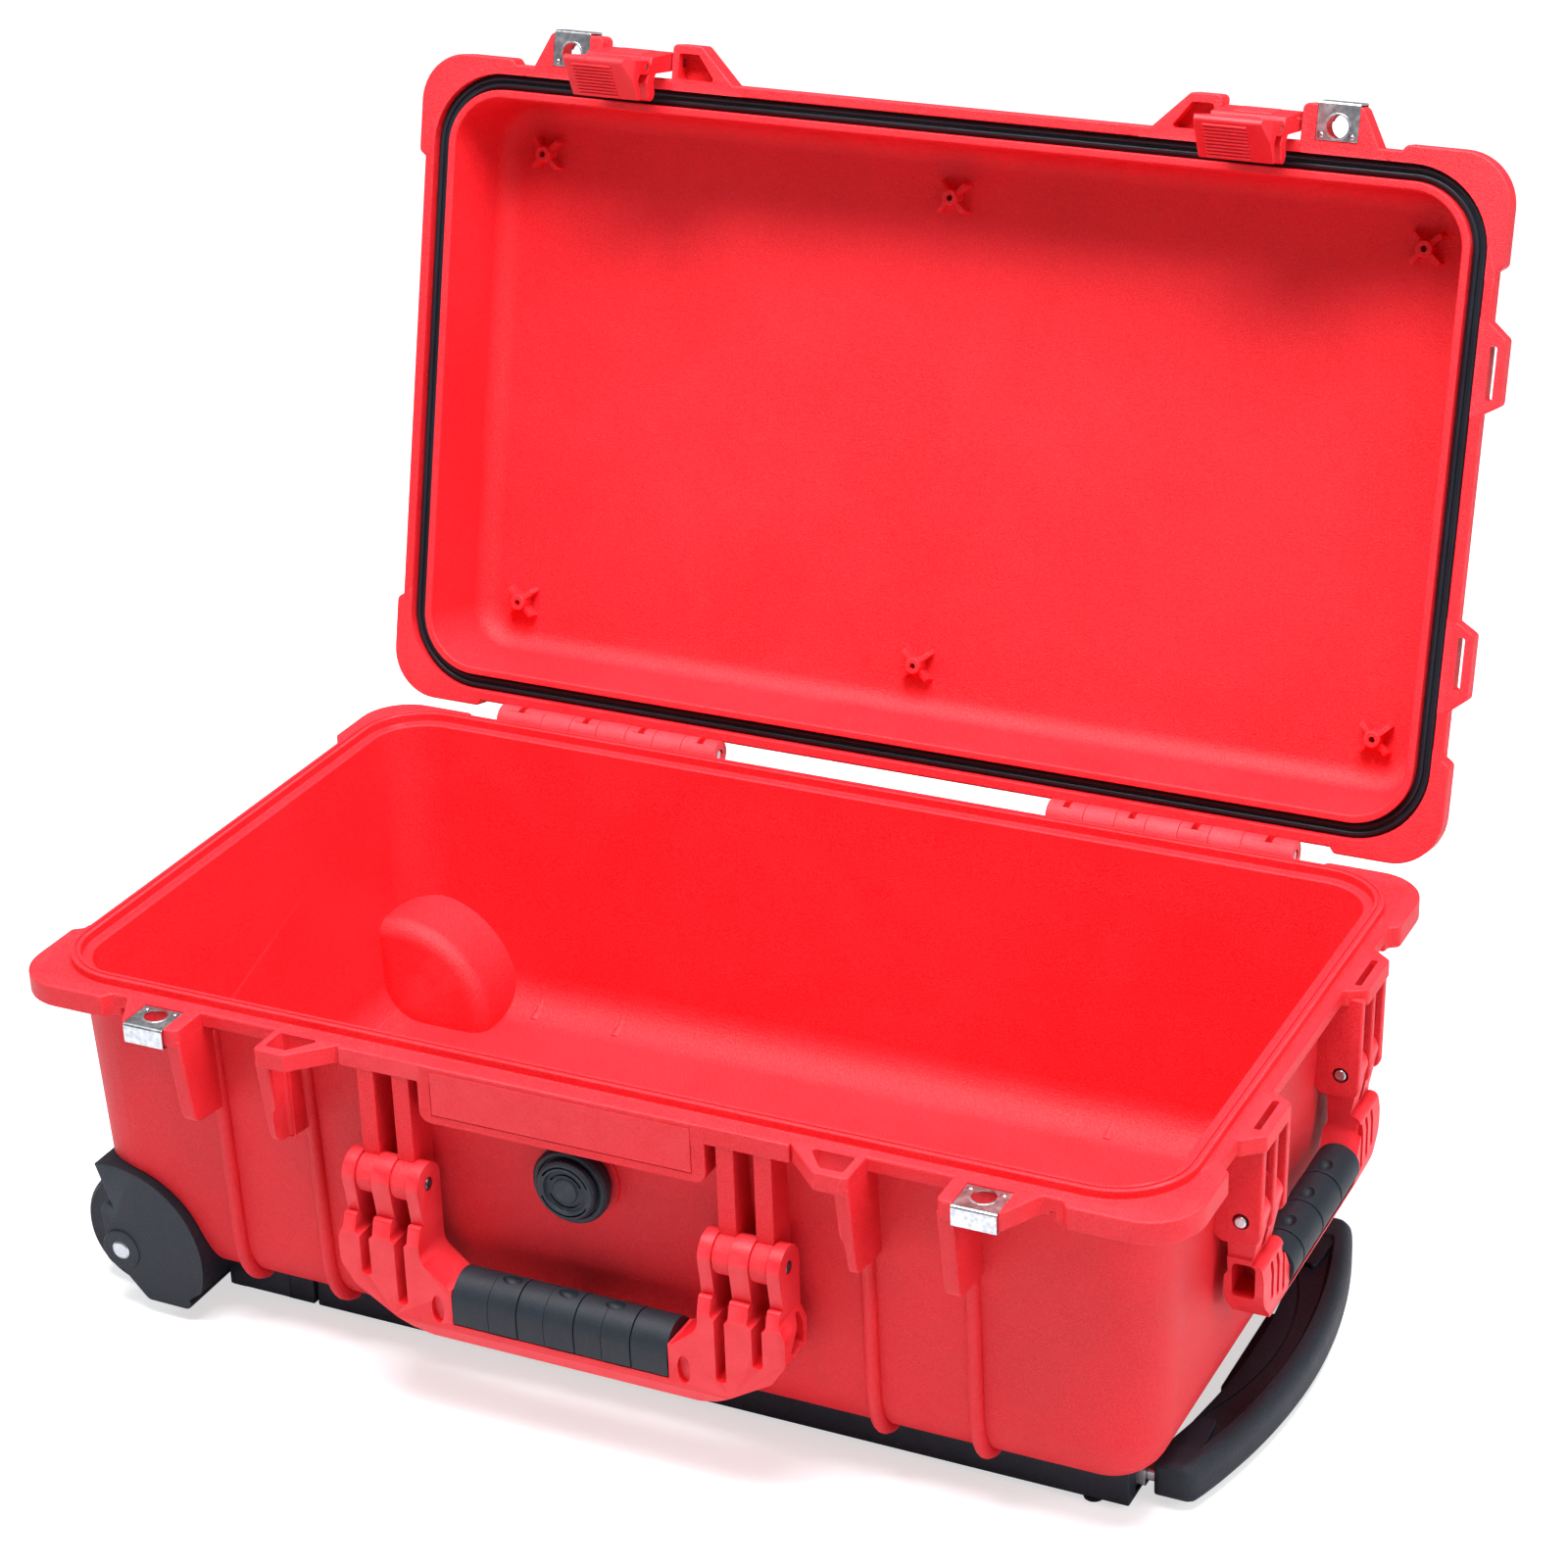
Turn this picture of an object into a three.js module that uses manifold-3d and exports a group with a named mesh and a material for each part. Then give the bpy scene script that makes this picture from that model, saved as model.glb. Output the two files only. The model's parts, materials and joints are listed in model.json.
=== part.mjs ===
// A rolling hard case with a hinged lid, two latches, two folding handles and a telescoping
// pull handle. Millimetres, +Z up. +X points to the pull handle and -Y to the front, where the
// latches are. The shapes are described about the middle of the base, and the finished model is
// moved so that the origin is on the floor under the middle of everything, lid open.
import * as THREE from 'three';
import { mergeVertices } from 'three/addons/utils/BufferGeometryUtils.js';
import Module from 'manifold-3d';

const wasm = await Module();
wasm.setup();

// Driving dimensions of the shells
const cavityHalfX = 251;
const cavityHalfY = 139.7;
const cavityRadius = 25;
const wall = 4.2;
const partingZ = 169.5;
const shellBottomZ = 20;
const floorZ = 24;
const wallDraft = 4.6;
const ledge = 4.7;
const ringWidth = 4.45;
const ringHeight = 4;
const flangeHalfX = 265.7;
const flangeHalfY = 154.5;
const flangeRadius = 39;
const flangeThick = 6.7;
const cornerHalfX = 270.6;
const cornerHalfY = 158.8;
const cornerFromX = 221.8;
const cornerFromY = 110.5;
const cornerThick = 10.4;

// Lid, described closed and then turned open about the hinge axis
const lidZ = 170.1;
const lidDepth = 46;
const lidFlangeThick = 8.4;
const hingeY = 162;
const hingeZ = 168;
const openAngle = 103.5;
const bossColumns = [-223.4, -6, 223.6];
const bossRowY = 112;

// Front furniture
const frontY = -157.5;
const tabCentreX = 190;
const tabHoleY = -163.6;
const lugOuterX = 136.2;
const tabInnerX = 173.5;
const padlockHoleRadius = 5.6;
const latchWidth = 35.6;
const latchPinY = -164.3;
const latchPinZ = 176.4;
const leverPinY = -161.6;
const leverPinZ = 147.2;
const ribCentres = [130, 175.6];

// Front handle and its brackets
const handlePinY = -157;
const handlePinZ = 112;
const barrelRadius = 8.8;
const finSpans = [[71, 79], [87.8, 95.8]];
const pinRadius = 2.6;

// Side handle and its brackets
const sidePinX = 265.3;
const sidePinZ = 128;
const sideRibs = [[46.5, 50.5], [61.5, 65.5], [76, 80]];

// Trolley: wheels, rails, telescoping tubes and pull handle
const axleX = -238;
const wheelRadius = 30.5;
const wheelInnerY = 107;
const wheelWidth = 21;
const housingRadius = 43;
const housingInnerY = 103;
const housingOuterY = 144.6;
const railCentreY = 95;
const tubeCentreZ = 10.4;
const railStartX = -157;
const railEndX = 231;

const gap = 0.35;
const arcSteps = 5;

const red = { color: 0xe8202c, roughness: 0.55, metalness: 0 };
const black = { color: 0x23292f, roughness: 0.6, metalness: 0 };
const rubber = { color: 0x17191c, roughness: 0.8, metalness: 0 };
const steel = { color: 0xb9bcc0, roughness: 0.3, metalness: 1 };
const darkSteel = { color: 0x5a6066, roughness: 0.4, metalness: 1 };
const aluminium = { color: 0xc9ccd0, roughness: 0.35, metalness: 1 };

// Closed meshes and booleans

function toSolid(geometry) {
  const bare = geometry.index ? geometry.toNonIndexed() : geometry.clone();
  bare.deleteAttribute('normal');
  bare.deleteAttribute('uv');
  const merged = mergeVertices(bare, 1e-4);
  return new wasm.Manifold(new wasm.Mesh({
    numProp: 3,
    vertProperties: new Float32Array(merged.attributes.position.array),
    triVerts: new Uint32Array(merged.index.array),
  }));
}

function toGeometry(solid) {
  const mesh = solid.getMesh();
  const geometry = new THREE.BufferGeometry();
  geometry.setAttribute('position', new THREE.BufferAttribute(mesh.vertProperties, 3));
  geometry.setIndex(new THREE.BufferAttribute(mesh.triVerts, 1));
  geometry.computeVertexNormals();
  return geometry;
}

function join(solids) {
  return solids.reduce((whole, next) => whole.add(next));
}

function cut(solid, tools) {
  return tools.reduce((rest, tool) => rest.subtract(tool), solid);
}

function block(x0, x1, y0, y1, z0, z1) {
  const geometry = new THREE.BoxGeometry(x1 - x0, y1 - y0, z1 - z0);
  geometry.translate((x0 + x1) / 2, (y0 + y1) / 2, (z0 + z1) / 2);
  return toSolid(geometry);
}

// A flat outline of [a, b] points, raised along one axis: 'z' takes [x, y], 'x' takes [y, z]
// and 'y' takes [x, z].
function prism(outline, axis, from, to) {
  const shape = new THREE.Shape(outline.map(([a, b]) => new THREE.Vector2(a, b)));
  return extrude(shape, axis, from, to);
}

function extrude(shape, axis, from, to) {
  const options = { depth: to - from, bevelEnabled: false, curveSegments: arcSteps };
  const geometry = new THREE.ExtrudeGeometry(shape, options);
  if (axis === 'z') {
    geometry.translate(0, 0, from);
  } else if (axis === 'x') {
    geometry.applyMatrix4(new THREE.Matrix4().set(0, 0, 1, from, 1, 0, 0, 0, 0, 1, 0, 0, 0, 0, 0, 1));
  } else {
    geometry.applyMatrix4(new THREE.Matrix4().set(1, 0, 0, 0, 0, 0, -1, to, 0, 1, 0, 0, 0, 0, 0, 1));
  }
  return toSolid(geometry);
}

function rod(axis, a, b, radius, from, to, sides = radius < 4 ? 12 : 16) {
  const geometry = new THREE.CylinderGeometry(radius, radius, to - from, sides);
  const middle = (from + to) / 2;
  if (axis === 'x') {
    geometry.rotateZ(Math.PI / 2);
    geometry.translate(middle, a, b);
  } else if (axis === 'y') {
    geometry.translate(a, middle, b);
  } else {
    geometry.rotateX(Math.PI / 2);
    geometry.translate(a, b, middle);
  }
  return toSolid(geometry);
}

function mirrorX(solid) {
  return solid.mirror([1, 0, 0]);
}

function mirrorY(solid) {
  return solid.mirror([0, 1, 0]);
}

// Lofts through rounded rectangles

function roundedLoop(halfX, halfY, radius, z) {
  const loop = [];
  const centres = [[1, 1], [-1, 1], [-1, -1], [1, -1]];
  centres.forEach(([sideX, sideY], quarter) => {
    for (let step = 0; step <= arcSteps; step += 1) {
      const angle = (quarter + step / arcSteps) * Math.PI / 2;
      loop.push(new THREE.Vector3(
        sideX * (halfX - radius) + radius * Math.cos(angle),
        sideY * (halfY - radius) + radius * Math.sin(angle),
        z,
      ));
    }
  });
  return loop;
}

function loft(loops) {
  const count = loops[0].length;
  const positions = loops.flat().flatMap((point) => point.toArray());
  const index = [];
  for (let level = 0; level < loops.length - 1; level += 1) {
    for (let i = 0; i < count; i += 1) {
      const a = level * count + i;
      const b = level * count + (i + 1) % count;
      index.push(a, b, b + count, a, b + count, a + count);
    }
  }
  const last = (loops.length - 1) * count;
  for (let i = 1; i < count - 1; i += 1) {
    index.push(0, i + 1, i);
    index.push(last, last + i, last + i + 1);
  }
  const geometry = new THREE.BufferGeometry();
  geometry.setAttribute('position', new THREE.Float32BufferAttribute(positions, 3));
  geometry.setIndex(index);
  return toSolid(geometry);
}

function slab(halfX, halfY, radius, z0, z1) {
  return loft([roundedLoop(halfX, halfY, radius, z0), roundedLoop(halfX, halfY, radius, z1)]);
}

function band(outer, inner, z0, z1) {
  return slab(...outer, z0, z1).subtract(slab(...inner, z0 - 1, z1 + 1));
}

// A tub standing on endZ with its mouth at mouthZ; endZ may be above or below the mouth.
function tub(mouthHalf, draft, radius, mouthZ, endZ, fillet) {
  const direction = Math.sign(endZ - mouthZ);
  const filletSteps = 6;
  const loops = [roundedLoop(mouthHalf[0], mouthHalf[1], radius, mouthZ)];
  for (let step = filletSteps; step >= 0; step -= 1) {
    const angle = (step / filletSteps) * Math.PI / 2;
    const inset = draft + fillet * (1 - Math.sin(angle));
    const z = endZ - direction * fillet * (1 - Math.cos(angle));
    const corner = Math.max(radius - inset, 6);
    loops.push(roundedLoop(mouthHalf[0] - inset, mouthHalf[1] - inset, corner, z));
  }
  return loft(direction < 0 ? loops.reverse() : loops);
}

function corners(z0, z1) {
  const frame = slab(cornerHalfX, cornerHalfY, flangeRadius + 4, z0, z1);
  const far = 400;
  const crossX = block(-cornerFromX, cornerFromX, -far, far, z0 - 1, z1 + 1);
  const crossY = block(-far, far, -cornerFromY, cornerFromY, z0 - 1, z1 + 1);
  return cut(frame, [crossX, crossY]);
}

// Outlines of the padlock tab and the stacking lug on the right-hand half, seen from above

const tabOutline = [
  [tabInnerX, -150], [tabInnerX, -171], [177, -172.8], [201, -172.8], [210.6, -155.6], [210.6, -150],
];
const lugOutline = [
  [102.6, -150], [102.6, -154.8], [121.4, -172.7], [lugOuterX, -172.7], [lugOuterX, -150],
];
const lugHole = [
  [112.6, -156.6], [122.6, -168.6], [132.4, -168.6], [132.4, -156.6],
];

function bothSides(make) {
  return [make(), mirrorX(make())];
}

function tabAndLug(tabZ, lugZ) {
  return bothSides(() => prism(tabOutline.slice().reverse(), 'z', tabZ[0], tabZ[1])
    .add(prism(lugOutline.slice().reverse(), 'z', lugZ[0], lugZ[1])));
}

// Base shell

function wheelWells(radius, innerY, outerY) {
  const well = rod('y', axleX, wheelRadius, radius, innerY, outerY, 36);
  return [well, mirrorY(well)];
}

function baseShell() {
  const outerHalf = [cavityHalfX + wall, cavityHalfY + wall];
  const outer = tub(outerHalf, wallDraft, cavityRadius + wall, partingZ - 2, shellBottomZ, 30);
  const flange = slab(flangeHalfX, flangeHalfY, flangeRadius, partingZ - flangeThick, partingZ);
  const innerRing = [cavityHalfX + ledge, cavityHalfY + ledge, cavityRadius + ledge];
  const outerRing = innerRing.map((value) => value + ringWidth);
  const ring = band(outerRing, innerRing, partingZ - 1, partingZ + ringHeight);
  const grooveInner = innerRing.map((value) => value + 1.8);
  const grooveOuter = innerRing.map((value) => value + 2.6);
  const groove = band(grooveOuter, grooveInner, partingZ + ringHeight - 0.7, partingZ + ringHeight + 1);

  const ribs = ribCentres.flatMap((x) => bothSides(() => join([
    prism(
      [
        [-147.2, 163], [-146.4, 150], [-142.2, 48], [-138, 36], [-131, 27], [-124, 24.6],
        [-118, 26], [-118, 163],
      ],
      'x', x - 3, x + 3,
    ),
    prism(
      [[118, 163], [118, 26], [124, 24.6], [131, 27], [138, 36], [142.2, 48], [146.4, 150], [147.2, 163]],
      'x', x - 3, x + 3,
    ),
  ])));

  const skirt = block(-96, 96, frontY, -150, 155, partingZ);
  const panelShape = new THREE.Shape();
  panelShape.moveTo(-61, partingZ - 0.8);
  panelShape.lineTo(-61, 147);
  panelShape.absarc(-56, 146, 5, Math.PI, Math.PI * 1.5, false);
  panelShape.absarc(56, 146, 5, Math.PI * 1.5, Math.PI * 2, false);
  panelShape.lineTo(61, partingZ - 0.8);
  const panel = extrude(panelShape, 'y', frontY - 0.9, -142);
  const fins = finSpans.flatMap(([x0, x1]) => bothSides(() => join([
    block(x0, x1, frontY, -141, handlePinZ - 3, 160),
    rod('x', handlePinY, handlePinZ, barrelRadius, x0, x1, 18),
  ])));

  const tabs = tabAndLug([161, partingZ - 1.5], [161.8, partingZ]);
  const webs = bothSides(() => join([
    prism([[-171, 164], [-166, 140], [-150, 128], [-141, 128], [-141, 164]], 'x', 132.9, lugOuterX),
    prism([[-154, 164], [-150, 118], [-141, 118], [-141, 164]], 'x', 104, 112),
    prism([[-171, 164], [-166, 140], [-150, 128], [-141, 128], [-141, 164]], 'x', tabInnerX, 179.5),
  ]));

  const sideLug = prism([[262, -86], [268, -86], [275.4, -79.4], [275.4, -51], [268, -47.6], [262, -47.6]],
    'z', 161.8, partingZ);
  const ribShape = [[251, 110], [268, 110], [273, 117], [274, 165], [251, 165]];
  const sideRibSolids = sideRibs.map(([y0, y1]) => prism(ribShape, 'y', -y1, -y0));
  const sideBracket = join([sideLug, ...sideRibSolids]);

  const knuckles = hingeKnuckles(baseKnuckleSpans, true);
  const webShape = [[141, 132], [162, 157], [162, 161.7], [143, 161.7]];
  const webHinges = bothSides(() => prism(webShape, 'x', 88, 203));

  const valvePad = rod('y', 0, 123, 17.8, -144.3, -139, 28);
  const valveBoss = rod('y', 0, 123, 13, -140, -135.9, 24);
  const bump = wheelWells(housingRadius + 3.8, housingInnerY - 4.4, 170);
  const cavity = tub([cavityHalfX, cavityHalfY], wallDraft, cavityRadius, partingZ + 8, floorZ, 26);

  const body = join([
    outer, flange, corners(partingZ - cornerThick, partingZ), ring, ...ribs, skirt, panel, ...fins, ...tabs,
    ...webs, valvePad, sideBracket, mirrorY(sideBracket), ...knuckles, ...webHinges,
  ]);
  const slots = [[-76.5, -52], [52, 76.5]].map(([y0, y1]) => block(268.2, 271.6, y0, y1, 140, 175));
  const pinHoles = [
    rod('x', handlePinY, handlePinZ, pinRadius + gap, -100, 100),
    rod('y', sidePinX, sidePinZ, pinRadius + gap, -84, 84),
    rod('x', hingeY, hingeZ, pinRadius + gap, -206, 206),
    rod('y', 0, 123, 6.3, -170, -120),
  ];
  const holes = bothSides(() => join([
    rod('z', tabCentreX, tabHoleY, padlockHoleRadius, 150, 175),
    prism(lugHole.slice().reverse(), 'z', 150, 175),
  ]));
  const ledgeCut = slab(...innerRing, partingZ, partingZ + 12);
  const housingBays = wheelWells(housingRadius + 0.6, housingInnerY - 0.6, 170);
  const hollow = cavity.subtract(join([...bump, valveBoss]));
  return cut(body, [hollow, ledgeCut, groove, ...slots, ...pinHoles, ...holes, ...housingBays]);
}

// The base moulding in its simpler parts: outer brackets first, then the floor pan and the four walls.
// Neighbouring parts keep a narrow seam, so that no two of them overlap.

function frontBracketSpans(side) {
  const [x0, x1] = side > 0 ? [66, 216] : [-216, -66];
  return [[x0, x1, -180, -150, 90, 180], [x0, x1, -180, -146.4, 90, 162.2]];
}

function sideBracketSpans(side) {
  const [y0, y1] = side > 0 ? [43, 92] : [-92, -43];
  return [[261.5, 290, y0, y1, 90, 180], [256.2, 290, y0, y1, 90, 162.2]];
}

const baseSpans = {
  base_front_bracket_right: frontBracketSpans(1),
  base_front_bracket_left: frontBracketSpans(-1),
  base_side_bracket_front: sideBracketSpans(-1),
  base_side_bracket_rear: sideBracketSpans(1),
  base_floor_pan: [[-300, 300, -200, 200, 0, 30]],
  base_wheel_end: [[-300, -190, -200, 200, 0, 200]],
  base_handle_end: [[226, 300, -200, 200, 0, 200]],
  base_front_wall: [[-300, 300, -200, 0, 0, 200]],
  base_rear_wall: [[-300, 300, 0, 200, 0, 200]],
};

function baseParts() {
  let rest = baseShell();
  return Object.entries(baseSpans).map(([name, spans]) => {
    const part = rest.intersect(join(spans.map((span) => block(...span))));
    rest = cut(rest, spans.map((span) => block(...span.map((value, i) => value + (i % 2 ? gap : -gap)))));
    return [name, part];
  });
}

// Hinge knuckles, alternating between base and lid along X

const baseKnuckleSpans = [[85.8, 104], [119.8, 134.3], [150.6, 165], [181, 205.6]];
const lidKnuckleSpans = [[104.4, 119.4], [134.7, 150.2], [165.4, 180.6]];
const knuckleRadius = 5.9;

function hingeKnuckles(spans, onBase) {
  return spans.flatMap(([x0, x1]) => bothSides(() => {
    const barrel = rod('x', hingeY, hingeZ, knuckleRadius, x0, x1);
    const arm = onBase
      ? block(x0, x1, 150, hingeY, 161.6, hingeZ + 1.2)
      : block(x0, x1, 150, hingeY, lidZ, hingeZ + knuckleRadius);
    return barrel.add(arm);
  }));
}

// Lid shell, closed

function lidShell() {
  const topZ = lidZ + lidDepth + wall;
  const outerHalf = [cavityHalfX + wall + 1, cavityHalfY + wall + 1];
  const outer = tub(outerHalf, 5, cavityRadius + wall, lidZ, topZ, 14);
  const flange = slab(flangeHalfX + 1.6, flangeHalfY + 1, flangeRadius, lidZ, lidZ + lidFlangeThick);
  const cavity = tub([cavityHalfX, cavityHalfY], 4, cavityRadius, lidZ - 4, lidZ + lidDepth, 14);
  const grooveInner = [cavityHalfX + 3.6, cavityHalfY + 3.6, cavityRadius + 3.6];
  const grooveOuter = grooveInner.map((value) => value + 7.8);
  const groove = band(grooveOuter, grooveInner, lidZ - 2, lidZ + 6);

  const ribLoop = [
    [-146.6, lidZ + 6], [-143.4, topZ - 14], [-136, topZ + 2], [-128, topZ + 5],
    [128, topZ + 5], [136, topZ + 2], [143.4, topZ - 14], [146.6, lidZ + 6],
  ];
  const ribShape = ribLoop.slice().reverse();
  const ribs = ribCentres.flatMap((x) => bothSides(() => prism(ribShape, 'x', x - 4, x + 4)));
  const tabs = tabAndLug([lidZ + 1.4, lidZ + 11], [lidZ, lidZ + 11]);
  const sideLug = prism([[262, -86], [268, -86], [275.4, -79.4], [275.4, -51], [268, -47.6], [262, -47.6]],
    'z', lidZ, lidZ + 9);
  const knuckles = hingeKnuckles(lidKnuckleSpans, false);

  const body = join([
    outer, flange, corners(lidZ, lidZ + cornerThick), ...ribs, ...tabs,
    sideLug, mirrorY(sideLug), ...knuckles,
  ]);
  const holes = bothSides(() => join([
    rod('z', tabCentreX, tabHoleY, padlockHoleRadius, 160, 185),
    prism(lugHole.slice().reverse(), 'z', 160, lidZ + 9),
    rod('x', latchPinY, latchPinZ, pinRadius - 0.6 + gap, lugOuterX - 6, tabInnerX + 5),
  ]));
  const slots = [[-76.5, -52], [52, 76.5]].map(([y0, y1]) => block(268.2, 271.6, y0, y1, 160, 185));
  const hingeHole = rod('x', hingeY, hingeZ, pinRadius + gap, -206, 206);
  const shell = cut(body, [cavity, groove, ...holes, ...slots, hingeHole]);

  const bosses = bossColumns.flatMap((x) => [-bossRowY, bossRowY].map((y) => {
    const tipZ = lidZ + 37.6;
    const baseZ = lidZ + lidDepth + 1;
    const cross = [45, 135].map((angle) => {
      const arm = new THREE.BoxGeometry(19, 1.7, baseZ - tipZ - 3);
      arm.rotateZ(THREE.MathUtils.degToRad(angle));
      arm.translate(x, y, (baseZ + tipZ + 3) / 2);
      return toSolid(arm);
    });
    const post = rod('z', x, y, 3.4, tipZ, baseZ, 10);
    return cut(join([post, ...cross]), [rod('z', x, y, 1.3, tipZ - 1, tipZ + 6, 8)]);
  }));
  return join([shell, ...bosses]);
}

function lidGasket() {
  const inner = [cavityHalfX + 4.5, cavityHalfY + 4.5, cavityRadius + 4.5];
  const outer = inner.map((value) => value + 6.5);
  return band(outer, inner, lidZ + 3.8, lidZ + 5.6);
}

// A folded steel plate round a padlock tab. topZ is the free face of the tab, side is +1 where the
// plate's wide leg is on top of the tab and -1 where it is below.

function padlockPlate(faceZ, backZ, side) {
  const thick = 0.9;
  const x0 = tabCentreX - 9.6;
  const x1 = tabCentreX + 9.6;
  const outerY = -173.1 - gap;
  const face = side > 0 ? [faceZ + gap, faceZ + gap + thick] : [faceZ - gap - thick, faceZ - gap];
  const back = side > 0 ? [backZ - gap - thick, backZ - gap] : [backZ + gap, backZ + gap + thick];
  const lowest = Math.min(face[0], back[0]);
  const highest = Math.max(face[1], back[1]);
  const legs = join([
    block(x0, x1, outerY, -157.2, face[0], face[1]),
    block(x0, x1, outerY, -165, back[0], back[1]),
    block(x0, x1, outerY - thick, outerY + 0.01, lowest, highest),
  ]);
  return legs.subtract(rod('z', tabCentreX, tabHoleY, padlockHoleRadius - 0.2, lowest - 1, highest + 1));
}

// Latch, closed-lid coordinates, left edge at x = 0

const hookOutline = [
  [-168.4, 171], [-166.4, 152], [-158.6, 149.2], [-154.5, 148], [-147.3, 151.2], [-145.9, 153.6],
  [-147.4, 156], [-150, 156.8], [-155, 154.6], [-158.7, 157], [-159.6, 172], [-160, 176.4], [-168.4, 176.4],
];
const leverOutline = [
  [-165, 143.8], [-165.4, 129.4], [-163.4, 128.4], [-146.4, 141.2], [-147, 143.4], [-155.4, 139.2],
  [-160.6, 142.2], [-159.6, 143.8],
];
const padTopWidth = 27;

function latchHook() {
  const hook = join([
    prism(hookOutline, 'x', gap, latchWidth - gap),
    rod('x', latchPinY, latchPinZ, 4.2, gap, latchWidth - gap),
    prism([[-165.4, 153], [-165, 147.2], [-158, 147.2], [-157, 153]], 'x', 12, latchWidth - 12),
    rod('x', leverPinY, leverPinZ, 3.4, 12, latchWidth - 12),
  ]);
  const relief = 4;
  const sides = [[0, 12], [latchWidth - 12, latchWidth]];
  const clearances = sides.map(([x0, x1]) => rod('x', leverPinY, leverPinZ, relief, x0 - 1, x1));
  clearances[1] = rod('x', leverPinY, leverPinZ, relief, sides[1][0], latchWidth + 1);
  return cut(hook, [
    ...clearances,
    rod('x', latchPinY, latchPinZ, pinRadius - 0.6 + gap, -2, latchWidth + 2),
    rod('x', leverPinY, leverPinZ, 1.5 + gap, -2, latchWidth + 2),
  ]);
}

function latchLever() {
  const knuckles = [[gap, 11.6], [latchWidth - 11.6, latchWidth - gap]];
  const body = join([
    prism(leverOutline, 'x', gap, latchWidth - gap),
    ...knuckles.flatMap(([x0, x1]) => [
      rod('x', leverPinY, leverPinZ, 3.4, x0, x1),
      prism([[-165, 147], [-165, 142], [-158.6, 142], [-158.2, 147]], 'x', x0, x1),
    ]),
  ]);
  const slant = prism([[padTopWidth, 120], [latchWidth + 2, 120], [latchWidth + 2, 139.6]], 'y', -180, -140);
  const clearance = rod('x', leverPinY, leverPinZ, 4, 11.6, latchWidth - 11.6);
  return cut(body, [slant, clearance, rod('x', leverPinY, leverPinZ, 1.5 + gap, -2, latchWidth + 2)]);
}

// Front handle

const handleOutline = [
  [-101.8, 112], [-103.6, 96], [-104.6, 76], [-98, 64], [-72, 44], [-62, 41.6], [62, 41.6], [72, 44],
  [98, 64], [104.6, 76], [103.6, 96], [101.8, 112], [101.8, 121], [64.8, 121], [64.8, 90],
  [56, 74], [48, 70],
  [-48, 70], [-56, 74], [-64.8, 90], [-64.8, 121], [-101.8, 121],
];

function frontHandleFrame() {
  const plate = prism(handleOutline, 'y', -168.4, -148.6);
  const front = prism([[-170, 122], [-166.4, 122], [-166.4, 92], [-168.6, 80], [-170, 80]], 'x', -120, 120);
  const roundTop = prism([[-180, 112], [-130, 112], [-130, 130], [-180, 130]], 'x', -120, 120)
    .subtract(rod('x', handlePinY, handlePinZ, 9.4, -121, 121, 28));
  const slots = finSpans.flatMap(([x0, x1]) => bothSides(() => block(x0 - 0.5, x1 + 0.5, -175, -140, 84, 140)
    .add(block(x0 - 0.2, x1 - 0.4, -175, -152, 66, 85))));
  const endPocket = bothSides(() => prism([[-164.6, 73], [-151.6, 73], [-151.6, 93]], 'x', 99, 110));
  const seatShape = [
    [-172, 53], [-165.6, 53], [-165.6, 60], [-160.4, 66.6], [-145, 66.6], [-145, 80], [-172, 80],
  ];
  const gripSeat = prism(seatShape, 'x', -51, 51);
  const pinHole = rod('x', handlePinY, handlePinZ, pinRadius + gap, -110, 110);
  return cut(plate, [front, roundTop, ...slots, ...endPocket, gripSeat, pinHole]);
}

function frontHandleGrip() {
  const grip = prism([
    [-168.8, 53.3], [-165.9, 53.3], [-165.9, 60], [-160.6, 66.9], [-148.8, 66.9], [-148.8, 69],
    [-151, 73], [-156, 74.6], [-162, 72.6], [-167, 67], [-169, 60],
  ].reverse(), 'x', -50.7, 50.7);
  const dimples = [-24, 0, 24].map((x) => {
    const oval = new THREE.CylinderGeometry(5.4, 5.4, 6, 14);
    oval.rotateX(Math.PI / 2);
    oval.scale(1.5, 1, 1);
    oval.translate(x, -157, 73.6);
    return toSolid(oval);
  });
  return cut(grip, dimples);
}

// Side handle, hanging from the two brackets on the +X end

function sideHandleFrame() {
  const outline = [
    [-76.4, 110], [-76.4, 94], [-73, 83], [-64, 76], [-50, 68], [50, 68], [64, 76], [73, 83], [76.4, 94],
    [76.4, 110], [75.4, 137], [51, 137], [51, 100], [44, 88], [-44, 88], [-51, 100], [-51, 137],
    [-75.4, 137],
  ].reverse();
  const plate = prism(outline, 'x', 257.4, 273.6);
  const slots = sideRibs.flatMap(([y0, y1]) => [[y0, y1], [-y1, -y0]])
    .map(([y0, y1]) => block(250, 280, y0 - 0.5, y1 + 0.5, 108, 140));
  const top = block(240, 290, -90, 90, sidePinZ, 150)
    .subtract(rod('y', sidePinX, sidePinZ, 7.8, -91, 91, 28));
  const windows = [-1, 1].map((side) => block(261, 270, side > 0 ? 60 : -90, side > 0 ? 90 : -60, 90, 105));
  const seatShape = [[262, 76], [280, 76], [280, 100], [250, 100], [250, 84.6], [262, 84.6]];
  const gripSeat = prism(seatShape, 'y', -44, 44);
  const pinHole = rod('y', sidePinX, sidePinZ, pinRadius + gap, -84, 84);
  return cut(plate, [...slots, top, ...windows, gripSeat, pinHole]);
}

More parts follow.
